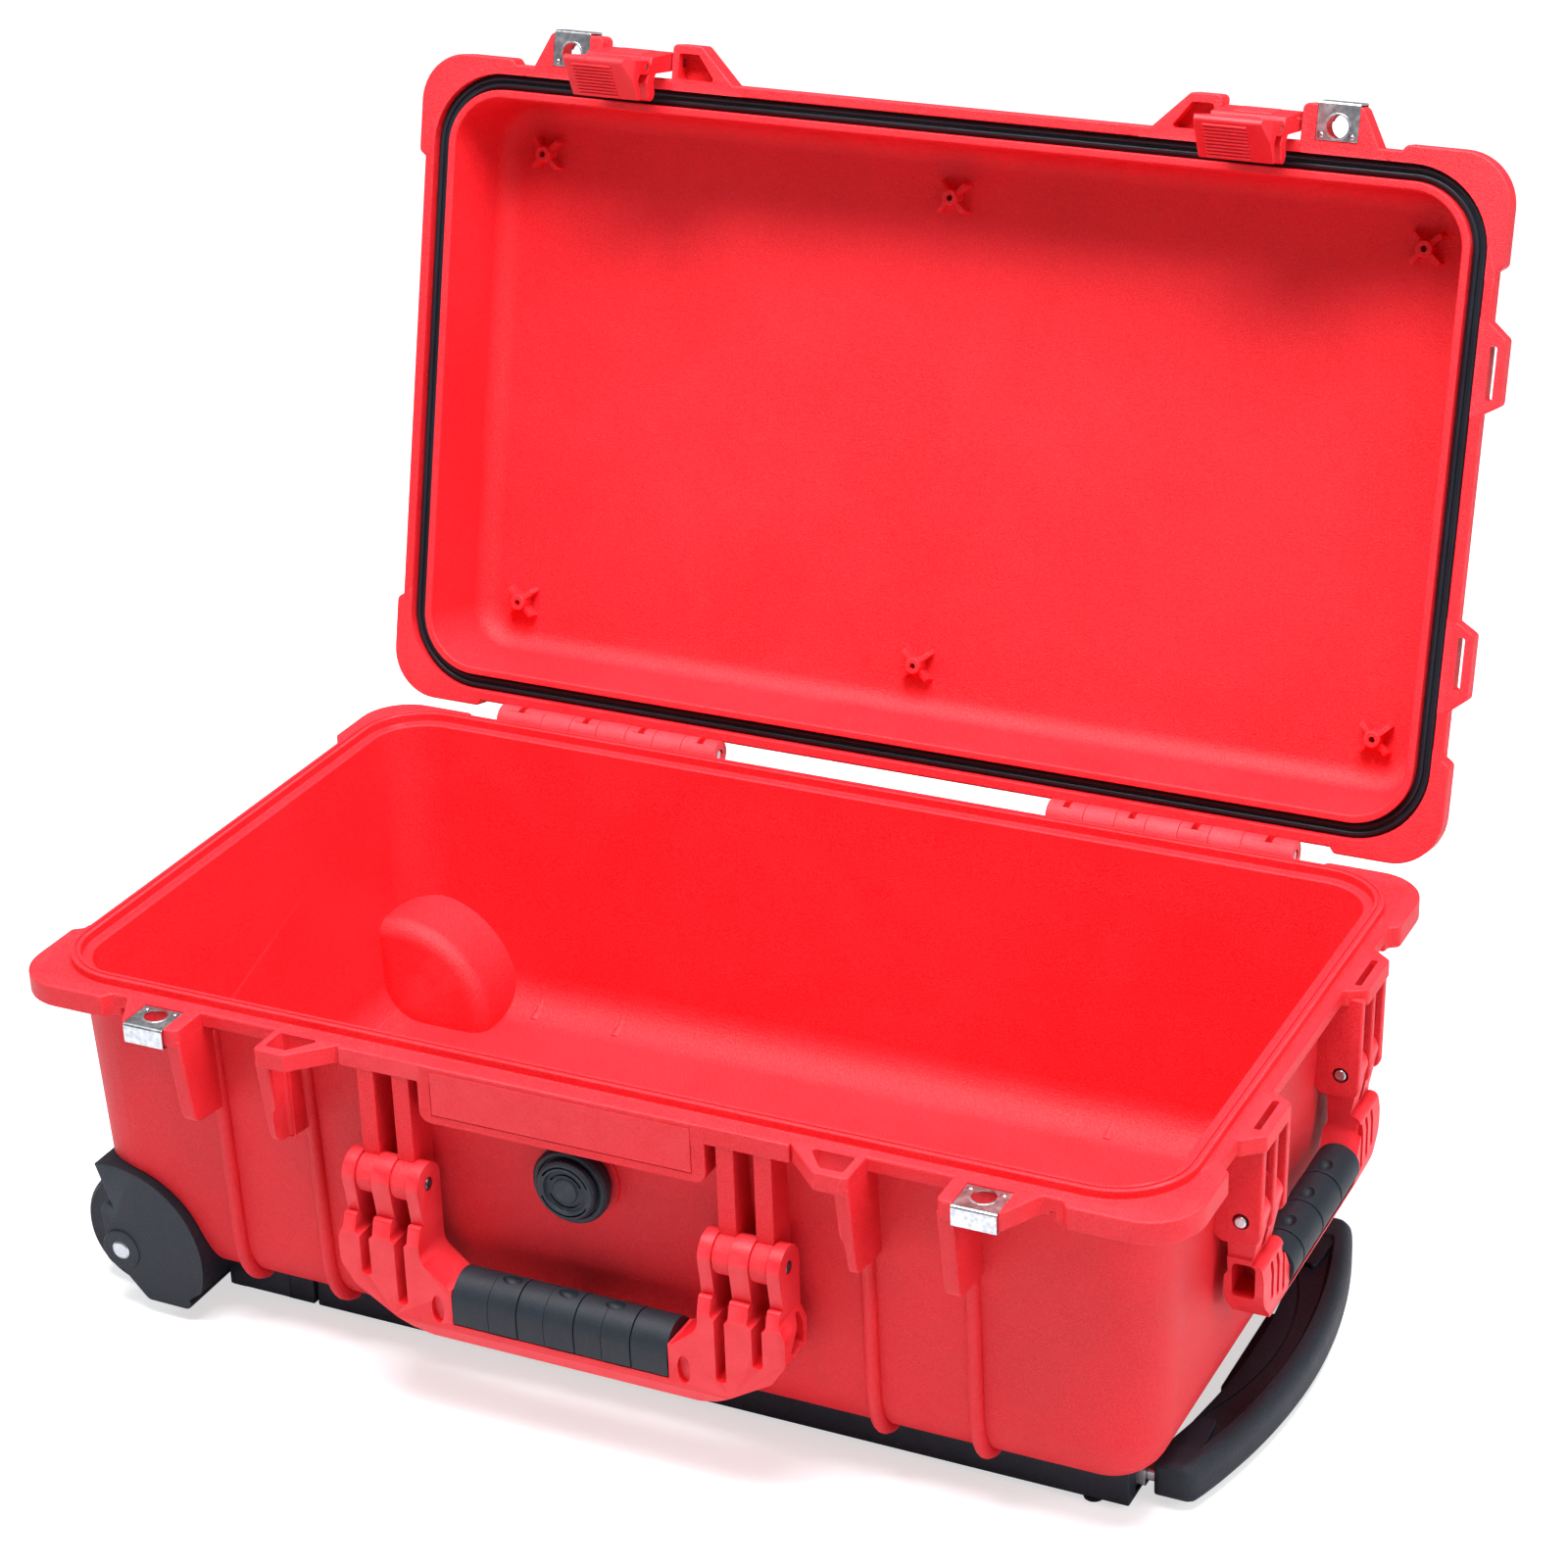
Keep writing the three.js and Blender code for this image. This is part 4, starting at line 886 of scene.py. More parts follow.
for sideName in ("Right", "Left"):
    for level, faces, body in (("Base", ((168.35, 169.25), (159.75, 160.65)), "base"),
                               ("Lid", ((170.25, 171.15), (181.45, 182.35)), "lid")):
        plate = padlockPlate(*faces)
        if sideName == "Left":
            plate.data.transform(Matrix.Diagonal((-1, 1, 1, 1)))
            plate.data.flip_normals()
        settle(plate, level + "PadlockPlate" + sideName, body, plateSteel,
               [level.lower() + "_padlock_plate_" + sideName.lower()], onLid=level == "Lid")
print("padlock plates")

latchSizes = {"width": 35.6, "topWidth": 27.0, "ribs": 10,
              "starts": {"right": 137.05, "left": -172.65}}


def makeLatchHook(x0):
    width = latchSizes["width"]
    outline = filleted([
        (-168.4, 171, 2), (-166.4, 152, 1), (-158.6, 149.2, 1), (-154.5, 148, 1.6), (-147.3, 151.2, 1.6),
        (-145.9, 153.6, 1.2), (-147.4, 156, 1.2), (-150, 156.8, 1), (-155, 154.6, 1.6), (-158.7, 157, 1.4),
        (-159.6, 172, 1), (-160, 176.4), (-168.4, 176.4)], 0, 4)
    hook = bevelled(prism("hook", outline, "x", x0 + 0.35, x0 + width - 0.35), 0.7, 3)
    top = bevelled(rod("top", "x", *pinAxes["latch"], 4.2, x0 + 0.35, x0 + width - 0.35, 32), 0.6)
    tongue = prism("tongue", filleted([(-165.4, 154), (-165, 147.2, 1), (-158, 147.2), (-157, 154)], 0, 4),
                   "x",
                   x0 + 12, x0 + width - 12)
    knuckle = bevelled(rod("knuckle", "x", *pinAxes["lever"], 3.4, x0 + 12, x0 + width - 12, 28), 0.4)
    ridge = bevelled(prism("ridge", [(-168.9, 172), (-167.3, 157), (-166, 157), (-166, 172)], "x", x0 + 9,
                           x0 + width - 9), 0.5)
    hook = joined(hook, top, bevelled(tongue, 0.4), knuckle, ridge)
    reliefs = [rod("relief", "x", *pinAxes["lever"], 4.0, a, b, 32)
               for a, b in ((x0 - 1, x0 + 12), (x0 + width - 12, x0 + width + 1))]
    return without(hook, *reliefs, rod("hole", "x", *pinAxes["latch"], 2.35, x0 - 2, x0 + width + 2, 24),
                   rod("hole", "x", *pinAxes["lever"], 1.8, x0 - 2, x0 + width + 2, 20))


def makeLatchLever(x0):
    width = latchSizes["width"]
    outline = filleted([
        (-165, 144.6), (-165.4, 129.4, 1.6), (-163.4, 128.4, 1.0), (-146.4, 141.2, 0.8), (-147, 143.4, 0.8),
        (-155.4, 139.2, 1.5), (-160.6, 142.2, 1.2), (-159.6, 144.6)], 0, 4)
    pad = bevelled(prism("lever", outline, "x", x0 + 0.35, x0 + width - 0.35), 0.6, 3)
    slant = prism("slant", [(x0 + latchSizes["topWidth"], 120), (x0 + width + 2, 120),
                            (x0 + width + 2, 139.6)], "y",
                  -180, -140)
    nick = prism("nick", [(x0 - 2, 120), (x0 + 4.6, 120), (x0 - 2, 136)], "y", -180, -140)
    pad = without(pad, slant, nick)
    pieces = []
    for a, b in ((x0 + 0.35, x0 + 11.6), (x0 + width - 11.6, x0 + width - 0.35)):
        pieces.append(bevelled(rod("knuckle", "x", *pinAxes["lever"], 3.4, a, b, 28), 0.4))
        pieces.append(bevelled(prism("neck", [(-165, 147), (-165, 141), (-158.6, 141), (-158.2, 147)], "x", a,
                                     b), 0.4))
    rib = bevelled(prism("rib", circle(0, 0, 0.52, 10), "x", x0 + 4.6, x0 + latchSizes["topWidth"] - 2.2),
                   0.2, 2, 60)
    spots = []
    for i in range(latchSizes["ribs"]):
        t = 0.12 + 0.8 * i / (latchSizes["ribs"] - 1)
        spots.append((0, -163.4 + 17 * t + 0.1, 128.4 + 12.8 * t - 0.12))
    pieces.append(copies("padRibs", rib, spots))
    lever = joined(pad, *pieces)
    gap = rod("relief", "x", *pinAxes["lever"], 4.0, x0 + 11.6, x0 + width - 11.6, 32)
    return without(lever, gap, rod("hole", "x", *pinAxes["lever"], 1.8, x0 - 2, x0 + width + 2, 20))


for sideName, x0 in latchSizes["starts"].items():
    title = sideName.title()
    far = x0 + latchSizes["width"]
    settle(makeLatchHook(x0), "LatchHook" + title, "latch_hook_" + sideName + "_body", redSmooth,
           ["latch_hook_" + sideName], onLid=True)
    settle(makeLatchLever(x0), "LatchLever" + title, "latch_lever_" + sideName + "_body", redSmooth,
           ["latch_lever_" + sideName], onLid=True)
    settle(bevelled(rod("pin", "x", *pinAxes["latch"], 2.0, x0 - 4, far + 4, 24), 0.5), "LatchPin" + title,
           "lid",
           pinSteel, ["latch_pin_" + sideName], onLid=True)
    settle(bevelled(rod("pin", "x", *pinAxes["lever"], 1.5, x0 + 0.6, far - 0.6, 20), 0.4),
           "LeverPin" + title,
           "latch_hook_" + sideName + "_body", pinSteel, ["lever_pin_" + sideName], onLid=True)
print("latches")

handleSizes = {"grooves": (-50.7, -33.5, -20, -7, 7, 20, 33.5, 50.7), "dimples": (-26.5, 0, 22)}


def mirroredOutline(half):
    return half + [(-p[0], *p[1:]) for p in reversed(half)]


def makeFrontHandle():
    half = [(62, 42.8, 7), (72, 46, 8), (98, 62, 6), (104.6, 72, 6), (104.6, 84, 5), (101.8, 90, 6),
            (101.8, 122),
            (65.2, 122), (65.2, 80, 9), (52.4, 69.6, 4)]
    loop = filleted(mirroredOutline(half), 0, 6)
    frame = prism("frame", loop, "y", -172, -146)
    side = arcPoints(*pinAxes["front"], 9.4, 0, 180) + filleted([
        (-165.4, 100, 12), (-168.8, 88, 10), (-168.8, 50, 3), (-165.4, 42.2, 3), (-151, 42.2, 3), (-148.4, 48,
                                                                                                   3)], 0, 8)
    frame = within(frame, prism("side", side, "x", -110, 110))
    cuts = []
    for x0, x1, low, narrow in ((70.9, 79.1, 57, 1.7), (87.7, 96.1, 68, 1.8)):
        wide = prism("slot", filleted([(x0, 86, 2.5), (x1, 86, 2.5), (x1, 130), (x0, 130)], 0, 5), "y", -180,
                     -130)
        thin = prism("slot", filleted([(x0 + narrow, low, 1.8), (x1 - narrow, low, 1.8), (x1 - narrow, 92),
                                       (x0 + narrow, 92)], 0, 5), "y", -180, -156)
        cuts += bothX(wide) + bothX(thin)
    cuts += bothX(prism("pocket", circle(58, 59, 4.2, 24, 0.7, 1.6), "y", -180, -166.6))
    window = prism("window", filleted([(-164.6, 74), (-151.6, 74), (-151.6, 92)], 1.6, 5), "x", 98.4, 112)
    cuts += bothX(window)
    frame = bevelled(without(frame, *cuts), 1.0, 4, 40)
    seat = prism("seat", [(-180, 53), (-165.6, 53), (-165.6, 60), (-160.4, 66.6), (-145, 66.6), (-145, 80),
                          (-180, 80)],
                 "x", -51, 51)
    pinHole = rod("pinHole", "x", *pinAxes["front"], 2.9, -110, 110, 24)
    return without(frame, seat, pinHole)


def bandedGrip(cover, core, axis, edges, inset, lift):
    # a core under a row of bands, every other one a little proud
    grip = prism("grip", core, axis, edges[0] + inset, edges[-1] - inset)
    for i in range(len(edges) - 1):
        band = prism("band", filleted(cover, 0, 5), axis, edges[i] + 0.14, edges[i + 1] - 0.14)
        if i % 2:
            band.data.transform(Matrix.Translation(lift))
        grip = joined(grip, bevelled(band, 0.28, 3, 50))
    return grip


def makeFrontGrip():
    seat = [(-148.8, 66.9), (-160.6, 66.9), (-165.9, 60), (-165.9, 53.3)]
    cover = [(-168.9, 53.3, 0.8), (-169.35, 60.5)] + arcPoints(-158, 63.4, 11.4, 186, 34,
                                                               18) + [(-148.8, 68.4)] + seat
    core = [(-168.2, 54.2), (-168.5, 61)] + arcPoints(-158, 63.4, 10.5, 186, 34, 18) + [(-149.2, 68)] + seat
    grip = bandedGrip(cover, core, "x", handleSizes["grooves"], 0.3, (0, -0.35, 0.35))
    for x in handleSizes["dimples"]:
        grip = without(grip, ellipsoid("dimple", (x, -158.4, 75.6), (4.6, 3.2, 3.4)))
    return grip


settle(makeFrontHandle(), "FrontHandleFrame", "front_handle", redSmooth, ["front_handle_frame"])
settle(makeFrontGrip(), "FrontHandleGrip", "front_handle", blackRubber, ["front_handle_grip"])
for sideName, ends in (("Right", (64.6, 102)), ("Left", (-102, -64.6))):
    settle(bevelled(rod("pin", "x", *pinAxes["front"], 2.6, *ends, 28), 0.7), "FrontHandlePin" + sideName,
           "base",
           darkSteel, ["front_handle_pin_" + sideName.lower()])
print("front handle")

def makeSideHandle():
    half = [(50, 68, 10), (64, 75, 8), (76.4, 88, 12), (76.4, 110, 4), (75.4, 137), (51, 137), (51, 100, 7),
            (43.6, 88, 4)]
    loop = filleted(mirroredOutline(half), 0, 6)
    frame = prism("frame", loop, "x", 250, 280)
    side = arcPoints(*pinAxes["side"], 7.8, 0, 180) + filleted([
        (257.3, 100, 3), (257.3, 74, 5), (262, 67.4, 4), (269.6, 67.4, 6), (274.3, 79, 10), (274.4, 98, 8),
        (273.1, 108, 6)], 0, 7)
    frame = within(frame, prism("side", side, "y", -95, 95))
    cuts = []
    for y0, y1 in sideWebs:
        slot = prism("slot", filleted([(y0 - 0.5, 108, 1.6), (y1 + 0.5, 108, 1.6), (y1 + 0.5, 142),
                                       (y0 - 0.5, 142)],
                                      0, 4), "x", 245, 285)
        cuts += [mirrored(slot, "y"), slot]
    window = filleted([(260.6, 90), (270.6, 90), (270.6, 105.6), (260.6, 105.6)], 2.2, 5)
    cuts += [prism("window", window, "y", y0, y0 + 30) for y0 in (60, -90)]
    for y in (51.5, 58.5, 65.5):
        notch = prism("notch", filleted([(y - 1.5, 81 + (y - 51.5) * 0.3), (y + 1.5, 81 + (y - 51.5) * 0.3),
                                         (y + 1.5, 103), (y - 1.5, 103)], 1.3, 5), "x", 272.2, 285)
        cuts += [mirrored(notch, "y"), notch]
    frame = bevelled(without(frame, *cuts), 1.0, 4, 40)
    seat = prism("seat", [(262, 76), (285, 76), (285, 100), (250, 100), (250, 84.6), (262, 84.6)], "y", -44,
                 44)
    return without(frame, seat, rod("pinHole", "y", *pinAxes["side"], 2.9, -84, 84, 24))


def makeSideGrip():
    seat = [(262.3, 76.3), (262.3, 84.9), (257.2, 84.9)]
    cover = seat + arcPoints(266.4, 86.6, 9.9, 182, -42, 22) + [(272.8, 76.9, 1), (271.6, 76.3)]
    core = seat + arcPoints(266.4, 86.6, 9.1, 182, -42, 22) + [(271.4, 77), (270.4, 76.4)]
    grip = bandedGrip(cover, core, "y", (-43.7, -31, -18, -6.5, 6.5, 18, 31, 43.7), 0.4, (0.3, 0, 0.35))
    for y in (-24, 0, 24):
        grip = without(grip, ellipsoid("dimple", (267, y, 97.4), (3.2, 4.6, 3.2)))
    return grip


settle(makeSideHandle(), "SideHandleFrame", "side_handle", redSmooth, ["side_handle_frame"])
settle(makeSideGrip(), "SideHandleGrip", "side_handle", blackRubber, ["side_handle_grip"])
for sideName, ends in (("Front", (-81.4, -46)), ("Rear", (46, 81.4))):
    settle(bevelled(rod("pin", "y", *pinAxes["side"], 2.6, *ends, 28), 0.7), "SideHandlePin" + sideName,
           "base",
           pinSteel, ["side_handle_pin_" + sideName.lower()])
print("side handle")

valveCentre = (0, 123)


def makeValve():
    body = lathe("valveBody", filleted([
        (0.01, -152.2), (14.2, -152.2), (14.6, -153.4, 0.5), (16.2, -153.4, 0.6), (17.4, -151.8, 0.6),
        (17.4, -148.5, 0.3), (5.9, -148.5), (5.9, -130.8, 0.5), (0.01, -130.8)], 0, 4), "y", *valveCentre, 72)
    cap = lathe("valveCap", filleted([
        (0.01, -156.7), (5.2, -156.7, 0.5), (5.8, -155.9), (9.4, -155.9), (9.9, -157.2, 0.4), (12.6, -157.2,
                                                                                               0.8),
        (13.6, -155.8, 0.8), (13.6, -153.7), (0.01, -153.7)], 0, 4), "y", *valveCentre, 72)
    for start in (20, 200):
        for radius in (7.6, 11.3):
            path = arcPoints(*valveCentre, radius + 0.45, start, start + 130, 16)
            path += list(reversed(arcPoints(*valveCentre, radius - 0.45, start, start + 130, 16)))
            cap = without(cap, prism("arcSlot", path, "y", -160, -155))
    seal = lathe("valveSeal", filleted([(6.4, -148.1), (15.4, -148.1, 0.8), (15.8, -144.7, 0.6),
                                        (6.4, -144.7)], 0, 5),
                 "y", *valveCentre, 64)
    nut = bevelled(rod("valveNut", "y", *valveCentre, 10.4, -135.6, -131.4, 6), 0.7)
    nut = without(nut, rod("thread", "y", *valveCentre, 6.3, -140, -128, 32))
    return body, cap, seal, nut


for obj, name, node, material, slotName in zip(
        makeValve(), ("ValveBody", "ValveCap", "ValveSeal", "ValveNut"),
        ("valve_body", "valve_cap", "valve_seal", "valve_nut"),
        (blackPlastic, blackPlastic, blackRubber, blackPlastic),
        ("black_plastic", "black_plastic", "black_rubber", "black_plastic")):
    settle(obj, name, "base", material, [node])
print("valve")

housingSizes = {"axle": (-238, 30.5), "radius": 43, "inner": -103, "outer": -144.6, "wheel": 30.5,
                "wheelSpan": (-128, -107), "spokes": 6}


def makeHousing():
    ax, az = housingSizes["axle"]
    arc = arcPoints(ax, az, housingSizes["radius"], -18, 104, 40)
    outline = arc + filleted([(-248.4, 60, 4), (-246.4, 36, 6), (-241, 22, 6), (-226, 7.2, 4),
                              (-199.4, 7, 3)], 0, 6)
    cheek = prism("housing", outline, "y", housingSizes["outer"], housingSizes["inner"])
    facet = prism("facet", [(-226, -144.7), (-226, -160), (-300, -160), (-300, -140.6)], "z", -10, 90)
    cheek = bevelled(without(cheek, facet), 2.2, 5, 24)
    raised = bevelled(rod("raised", "y", ax, az, 9.6, -145.0, -140, 48), 0.5)
    low, high = housingSizes["wheelSpan"]
    pocket = rod("pocket", "y", ax, az, housingSizes["wheel"] + 2.6, low - 3, high + 1.4, 72)
    opens = [box("open", -290, ax, low - 3, high + 1.4, -5, az + 33),
             box("open", ax - 33, ax + 20, low - 3, high + 1.4, -5, az)]
    arm = bevelled(box("arm", -202, -158, -114.4, -102.4, 3.4, 19.4), 1.0)
    arm = joined(arm, bevelled(box("arm", -202, -158, -114.0, -81, 15.6, 19.35), 0.8),
                 bevelled(box("arm", -202, -158, -84.6, -81.1, 3.5, 19.3), 0.8))
    arm = without(arm, rod("arch", "y", -183, -6, 15, -120, -70, 48))
    step = bevelled(box("step", -202, -170, -115.2, -112, 4.4, 18.2), 0.6)
    body = joined(cheek, raised, arm, step)
    return without(body, pocket, *opens, rod("bore", "y", ax, az, 3.35, -150, -100, 32))


def makeWheel():
    ax, az = housingSizes["axle"]
    low, high = housingSizes["wheelSpan"]
    middle = (low + high) / 2
    tyre = lathe("tyre", filleted([
        (21, low), (28, low, 1), (29.7, low + 2, 2), (30.4, low + 6, 3), (30.5, middle - 0.5), (30.15,
                                                                                                middle - 0.3),
        (30.15, middle + 0.3), (30.5, middle + 0.5), (30.4, high - 6, 3), (29.7, high - 2, 2), (28, high, 1),
        (21, high)], 0, 4), "y", ax, az, 96)
    rim = lathe("rim", filleted([(17.6, low + 0.9, 0.5), (20.6, low + 0.9, 0.5), (20.6, high - 0.9, 0.5),
                                 (17.6, high - 0.9, 0.5), (17.2, middle)], 0, 3), "y", ax, az, 72)
    centre = lathe("centre", filleted([(6.35, low + 1.4), (9.0, low + 1.4, 0.6), (9.4, middle),
                                       (9.0, high - 1.4, 0.6),
                                       (6.35, high - 1.4)], 0, 3), "y", ax, az, 48)
    section = [(8.4, middle - 1.6), (18, middle - 1.6), (18, middle + 1.6), (8.4, middle + 1.6)]
    disc = lathe("disc", section, "y", ax, az, 72)
    spoke = bevelled(box("spoke", 8.2, 18.4, -8.2, 8.2, -1.3, 1.3), 0.5)
    spokes = copies("spokes", spoke, [(ax, middle, az)] * housingSizes["spokes"],
                    2 * math.pi / housingSizes["spokes"])
    hub = joined(rim, centre, disc, spokes)
    bush = lathe("bush", filleted([(3.35, low + 0.6), (6, low + 0.6, 0.4), (6, high - 0.6, 0.4),
                                   (3.35, high - 0.6)],
                                  0, 3), "y", ax, az, 40)
    axle = lathe("axle", filleted([(0.01, -145.7), (3.6, -145.5, 0.8), (4.8, -144.75, 0.4), (4.8, -144.3),
                                   (3.0, -144.3),
                                   (3.0, -102.9, 0.6), (0.01, -102.9)], 0, 4), "y", ax, az, 48)
    return tyre, hub, bush, axle


def frontAndRear(obj):
    return {"Front": obj, "Rear": mirrored(obj, "y")}


housings = frontAndRear(makeHousing())
wheelParts = [frontAndRear(obj) for obj in makeWheel()]
for end in ("Front", "Rear"):
    low = end.lower()
    tyre, hub, bush, axle = (pair[end] for pair in wheelParts)
    settle(housings[end], "WheelHousing" + end, "base", blackPlastic,
           ["wheel_housing_" + low])
    settle(tyre, "WheelTyre" + end, "wheel_" + low, blackRubber, ["wheel_tyre_" + low])
    settle(hub, "WheelHub" + end, "wheel_" + low, blackPlastic, ["wheel_hub_" + low])
    settle(bush, "WheelBush" + end, "wheel_" + low, tubeAluminium, ["wheel_bush_" + low])
    settle(axle, "Axle" + end, "base", pinSteel, ["axle_" + low])
print("wheels")

tubeCentre = (-95.0, 10.4)


def makeRail():
    section = filleted([(-113.4, 2.2, 1.6), (-81.6, 2.2, 1.2), (-81.6, 19.4), (-112.4, 19.4, 1.2)], 0, 4)
    body = bevelled(prism("rail", section, "x", -157, 231), 0.8, 3)
    grooves = [prism("groove", filleted([(x, -109), (x + 44, -109), (x + 44, -98), (x, -98)], 3, 4), "z", 0,
                     3.2)
               for x in (-140, -88, -36, 16, 68, 120)]
    body = without(body, *grooves)
    return without(body, prism("bore", filleted([(-104.4, 4), (-85.6, 4), (-85.6, 16.8), (-104.4, 16.8)], 1,
                                                4), "x",
                               -160, 240))


def tube(halfY, halfZ, thick, x0, x1):
    def ring(shrink):
        a, b = halfY - shrink, halfZ - shrink
        y, z = tubeCentre
        return filleted([(y - a, z - b), (y + a, z - b), (y + a, z + b), (y - a, z + b)],
                        max(1.6 - shrink, 0.5), 5)
    outer = bevelled(prism("tube", ring(0), "x", x0, x1), 0.25, 2, 60)
    return without(outer, prism("bore", ring(thick), "x", x0 - 1, x1 + 1))


rails = {
    "Rail": (makeRail(), "base", blackPlastic, "black_plastic", "rail_"),
    "OuterTube": (tube(9.05, 6.05, 1.1, -153, 230), "base", tubeAluminium, "aluminium_tube", "outer_tube_"),
    "MiddleTube": (tube(7.3, 4.4, 1.2, -142, 234), "middle_stage", tubeAluminium, "aluminium_tube",
                   "middle_tube_"),
    "InnerTube": (tube(5.1, 2.8, 1.0, -140, 245), "pull_handle", tubeAluminium, "aluminium_tube",
                  "inner_tube_"),
    "RailFoot": (bevelled(rod("foot", "z", 214, -108.4, 4.4, 0, 1.95, 40), 0.5), "base", blackRubber,
                 "black_rubber",
                 "rail_foot_"),
}
for name, (obj, body, material, slotName, node) in rails.items():
    for end, piece in frontAndRear(obj).items():
        settle(piece, name + end, body, material, [node + end.lower()])
bar = bevelled(box("bar", -150, -132, -81.2, 81.2, 8, 19.4), 1.2)
for y in (-73, -46, -11, 24, 51):
    pocket = filleted([(-146.5, y), (-135.5, y), (-135.5, y + 22), (-146.5, y + 22)], 2, 4)
    bar = without(bar, prism("pocket", pocket, "z", 4, 12))
settle(bar, "RailCrossBar", "base", blackPlastic, ["rail_cross_bar"])
for sideName, ends in (("Right", (86.4, 205)), ("Left", (-205, -86.4))):
    settle(bevelled(rod("pin", "x", *pinAxes["hinge"], 2.6, *ends, 28), 0.6), "HingePin" + sideName, "base",
           pinSteel,
           ["hinge_pin_" + sideName.lower()])
print("rails and tubes")

pullSizes = {"bottom": 4.0, "top": 21.0, "recess": 17.4, "ends": 105.4, "round": 4.2}


def bowCurve(inside):
    # plan of the grip from the front end to the rear end
    points = ((-105.6, 253.4), (-101, 257), (-80, 263.2), (-57, 268.4), (-30, 272.2), (0, 273.8))
    hollow = ((-84, 237.8), (-57, 242.2), (-30, 245.7), (0, 246.8))
    half = hollow if inside else points
    return [(x, y) for y, x in half] + [(x, -y) for y, x in reversed(half[:-1])]


def smoothed(points, rounds=3):
    # corner cutting that keeps the end points
    for _ in range(rounds):
        cut = [points[0]]
        for a, b in zip(points, points[1:]):
            cut.append((a[0] * 0.75 + b[0] * 0.25, a[1] * 0.75 + b[1] * 0.25))
            cut.append((a[0] * 0.25 + b[0] * 0.75, a[1] * 0.25 + b[1] * 0.75))
        points = cut + [points[-1]]
    return points


def xAlong(curve, y):
    for (xa, ya), (xb, yb) in zip(curve, curve[1:]):
        if ya <= y <= yb:
            return xa + (xb - xa) * (y - ya) / max(yb - ya, 1e-6)
    return curve[0][0]


def bowSection(y, inner, outer):
    # section of the bow at y: a rounded rim along its outside and a lower panel, drawn in at the rounded ends
    past = max(abs(y) - pullSizes["ends"] + pullSizes["round"], 0)
    pull = pullSizes["round"] - math.sqrt(max(pullSizes["round"] ** 2 - past ** 2, 0))
    low, top, inner, outer = pullSizes["bottom"] + pull, pullSizes["top"] - pull, inner + pull, outer - pull
    blend = min(max((abs(y) - 86.5) / 2.5, 0), 1)
    panel = pullSizes["recess"] + (top - pullSizes["recess"]) * blend
    k = min((outer - inner) / 20, 1)
    outline = arcPoints(outer - 3 * k, low + 3 * k, 3 * k, -90, 0, 4)
    outline += arcPoints(outer - 6.4 * k, top - 6.4 * k, 6.4 * k, 0, 90, 8)
    outline += [(outer - 8.2 * k, top), (outer - 9.0 * k, top - 0.2 * (top - panel)),
                (outer - 9.7 * k, top - 0.8 * (top - panel)), (outer - 10.5 * k, panel),
                (inner + 1.4 * k, panel), (inner + 0.4 * k, panel - 0.4), (inner, panel - 1.4),
                (inner, low + 1.2), (inner + 0.4 * k, low + 0.3), (inner + 1.3 * k, low)]
    return [(x, y, z) for x, z in outline]


def makePullHandle():
    front = smoothed(bowCurve(False))
    back = smoothed(bowCurve(True))
    half = [0.0, 0.25, 0.9, 2.0, 3.6, 6, 9, 12.5, 16.4, 17.2, 18.2, 19.1,
            20] + [24 + 3.2 * i for i in range(26)]
    stations = [t - pullSizes["ends"] for t in half]
    stations += [-y for y in reversed(stations) if y < -0.1]
    bow = loft("bow", [bowSection(y, xAlong(back, y), xAlong(front, y)) for y in stations])
    contour = smoothed([(x - 15.5, y * 0.66) for x, y in bowCurve(False)])
    seam = prism("seam", contour + [(x - 1.0, y) for x, y in reversed(contour)], "z", 16.7, 24)
    bow = without(bow, seam)
    for side in (-1, 1):
        outline = [(238.4, side * 104), (251, side * 104), (254, side * 96), (251.5, side * 63),
                   (242.5, side * 66.8), (238.4, side * 84)]
        bow = joined(bow, bevelled(prism("shoulder", filleted(outline, 2, 4), "z", 15, 19.4), 0.9))
        low, high = sorted((side * 95 - 5.4, side * 95 + 5.4))
        bow = without(bow, box("socket", 230, 246, low, high, 7.3, 13.5))
    return without(bow, box("bay", 240, 262, -32, 32, 2, 13))


def makeTrigger():
    plate = bevelled(box("trigger", 241, 249, -31, 31, 4.6, 12.4), 1.0)
    lip = bevelled(box("lip", 248.4, 256, -31, 31, 9, 12.3), 0.8)
    ridge = bevelled(box("ridge", -0.45, 0.45, -27, 27, -0.5, 0.7), 0.3)
    ridges = copies("ridges", ridge, [(x, 0, 4.55) for x in (242.8, 244.3, 245.8, 247.3)])
    return joined(plate, lip, ridges)


settle(makePullHandle(), "PullHandleGrip", "pull_handle", blackPlastic, ["pull_handle_grip"])
settle(makeTrigger(), "ReleaseTrigger", "release_trigger_body", blackPlastic,
       ["release_trigger"])
print("pull handle")

lamps = [
    ("TopSoftbox", (0.15, -0.36, 2.1), (0, 0.05, 0.2), (1.5, 1.0), 112),
    ("LeftSoftbox", (-2.2, -0.4, 1.6), (0, 0, 0.2), (1.2, 1.2), 14),
    ("RightSoftbox", (2.3, -0.3, 1.2), (0, 0, 0.15), (1.2, 1.0), 22),
]


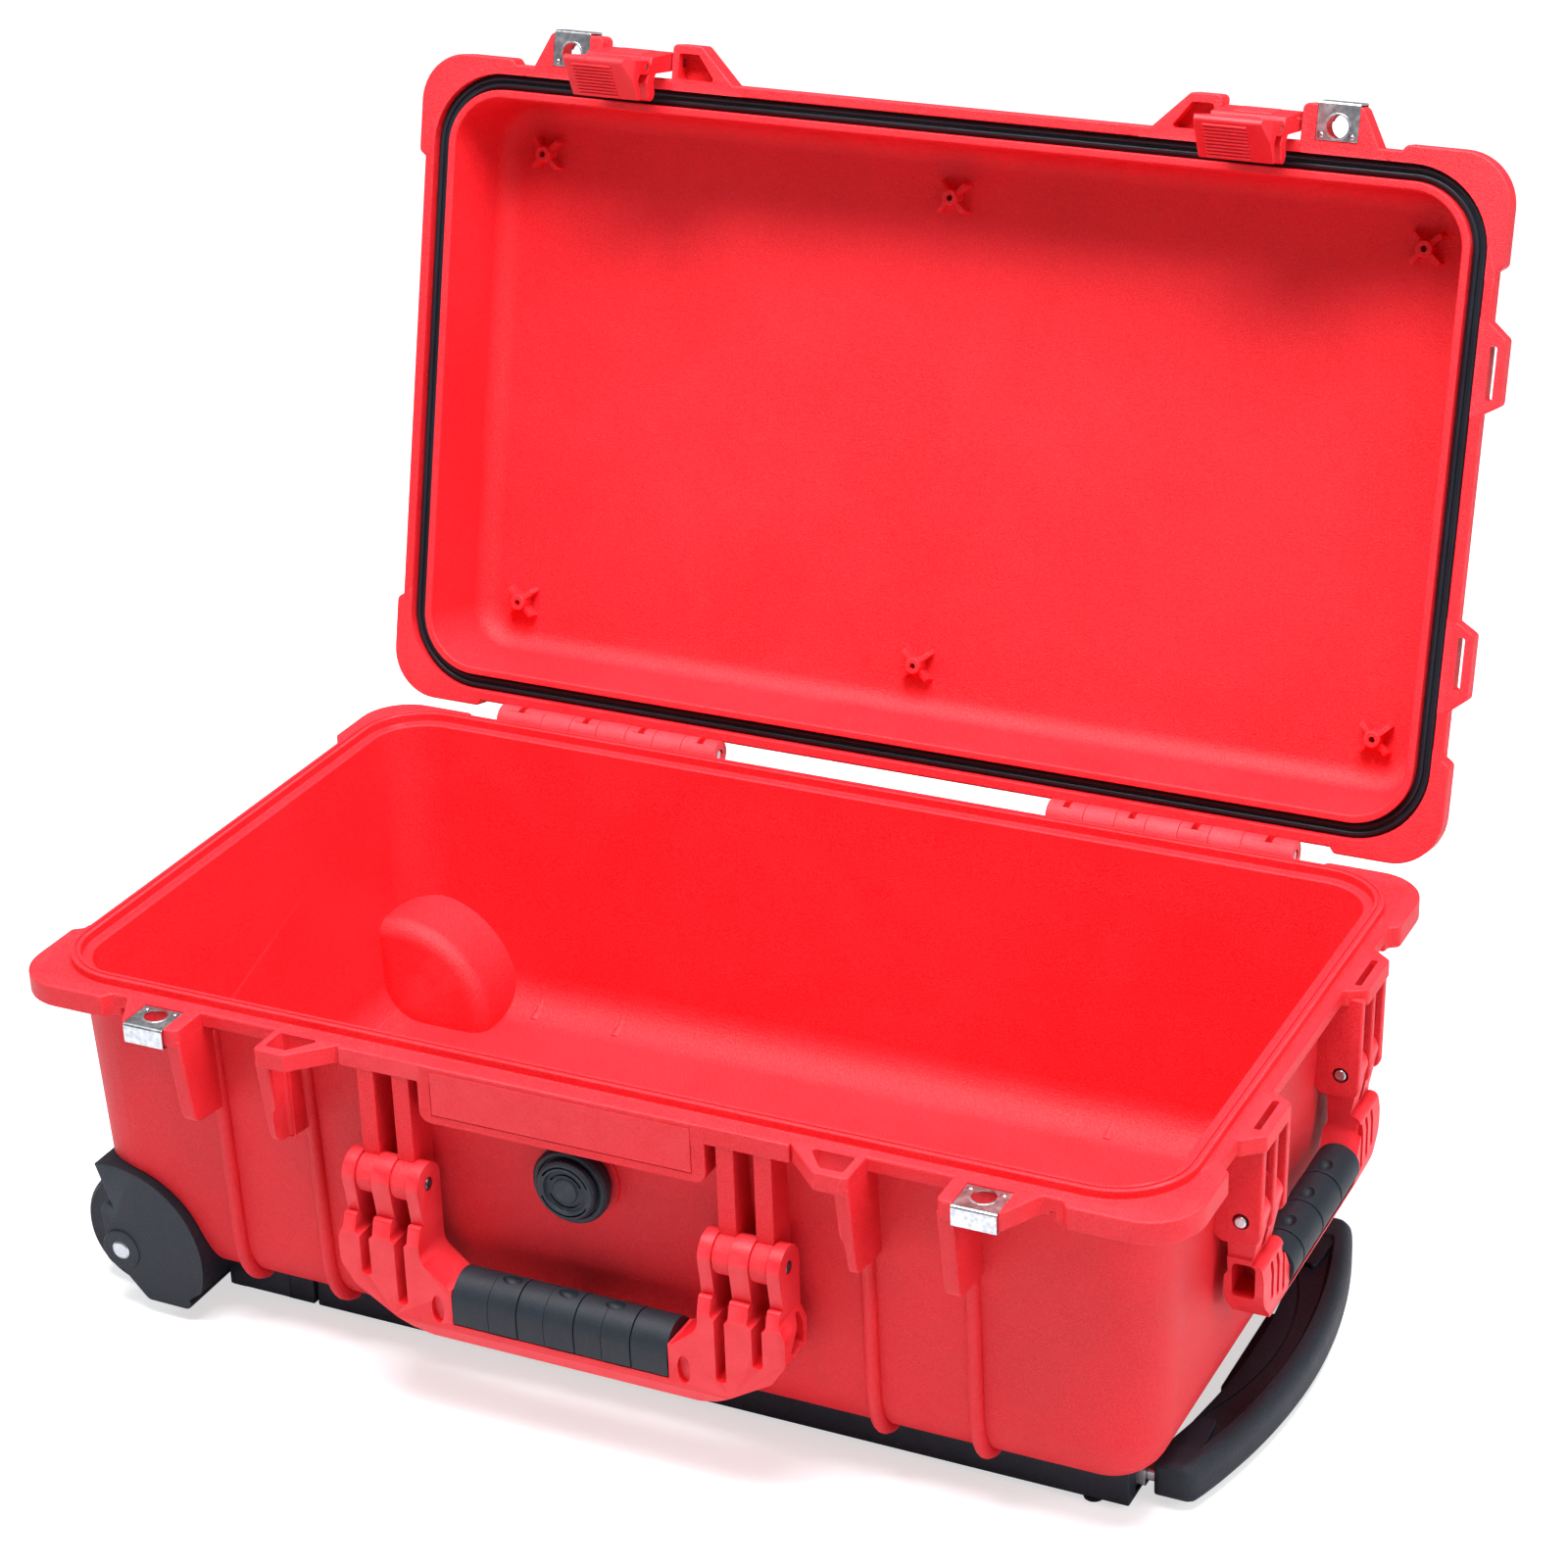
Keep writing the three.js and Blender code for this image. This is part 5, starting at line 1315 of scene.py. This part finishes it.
def studio():
    floor = meshObject("Floor", [(-6000, -6000, 0), (6000, -6000, 0), (6000, 6000, 0), (-6000, 6000, 0)],
                       [(0, 1, 2, 3)])
    floor.data.transform(Matrix.Scale(0.001, 4))
    paint, tree, shader, _ = newMaterial("PaleFloor")
    seen = addNode(tree, "ShaderNodeLightPath")
    lift = mathNode(tree, "MULTIPLY", seen.outputs["Is Camera Ray"], 0.62)
    tree.links.new(lift, shader.inputs["Emission Strength"])
    shader.inputs["Emission Color"].default_value = (1, 1, 1, 1)
    shader.inputs["Base Color"].default_value = (0.62, 0.63, 0.66, 1)
    shader.inputs["Roughness"].default_value = 0.9
    shader.inputs["Specular IOR Level"].default_value = 0.1
    floor.data.materials.append(paint)
    world = bpy.data.worlds.new("Studio")
    world.use_nodes = True
    world.node_tree.nodes["Background"].inputs[0].default_value = (0.93, 0.96, 1.0, 1)
    world.node_tree.nodes["Background"].inputs[1].default_value = 0.21
    bpy.context.scene.world = world
    for name, place, target, size, power in lamps:
        data = bpy.data.lights.new(name, "AREA")
        data.shape = "RECTANGLE"
        data.size, data.size_y = size
        data.energy = power
        lamp = linked(name, data)
        lamp.location = place
        lamp.rotation_euler = (Vector(target) - Vector(place)).to_track_quat("-Z", "Y").to_euler()


def studioCamera():
    view = {"place": (686.0, -1317.9, 939.8), "yaw": 25.61, "pitch": -24.69, "roll": -1.64, "lens": 87.48,
            "shiftX": -0.0334, "shiftY": -0.0262}
    yaw, pitch, roll = (math.radians(view[k]) for k in ("yaw", "pitch", "roll"))
    forward = Vector((-math.sin(yaw) * math.cos(pitch), math.cos(yaw) * math.cos(pitch), math.sin(pitch)))
    right = Vector((math.cos(yaw), math.sin(yaw), 0))
    up = right.cross(forward)
    rolledRight = right * math.cos(roll) + up * math.sin(roll)
    rolledUp = up * math.cos(roll) - right * math.sin(roll)
    data = bpy.data.cameras.new("StudioCamera")
    data.lens = view["lens"]
    data.sensor_width = 36
    data.shift_x = view["shiftX"]
    data.shift_y = view["shiftY"]
    data.clip_start = 0.05
    camera = linked("StudioCamera", data)
    turn = Matrix((rolledRight, rolledUp, -forward)).transposed().to_4x4()
    camera.matrix_world = Matrix.Translation((Vector(view["place"]) + frameShift) * 0.001) @ turn
    bpy.context.scene.camera = camera


studio()
studioCamera()
bpy.context.scene.view_settings.view_transform = "Standard"
bpy.context.scene.view_settings.look = "None"
print("room ready")
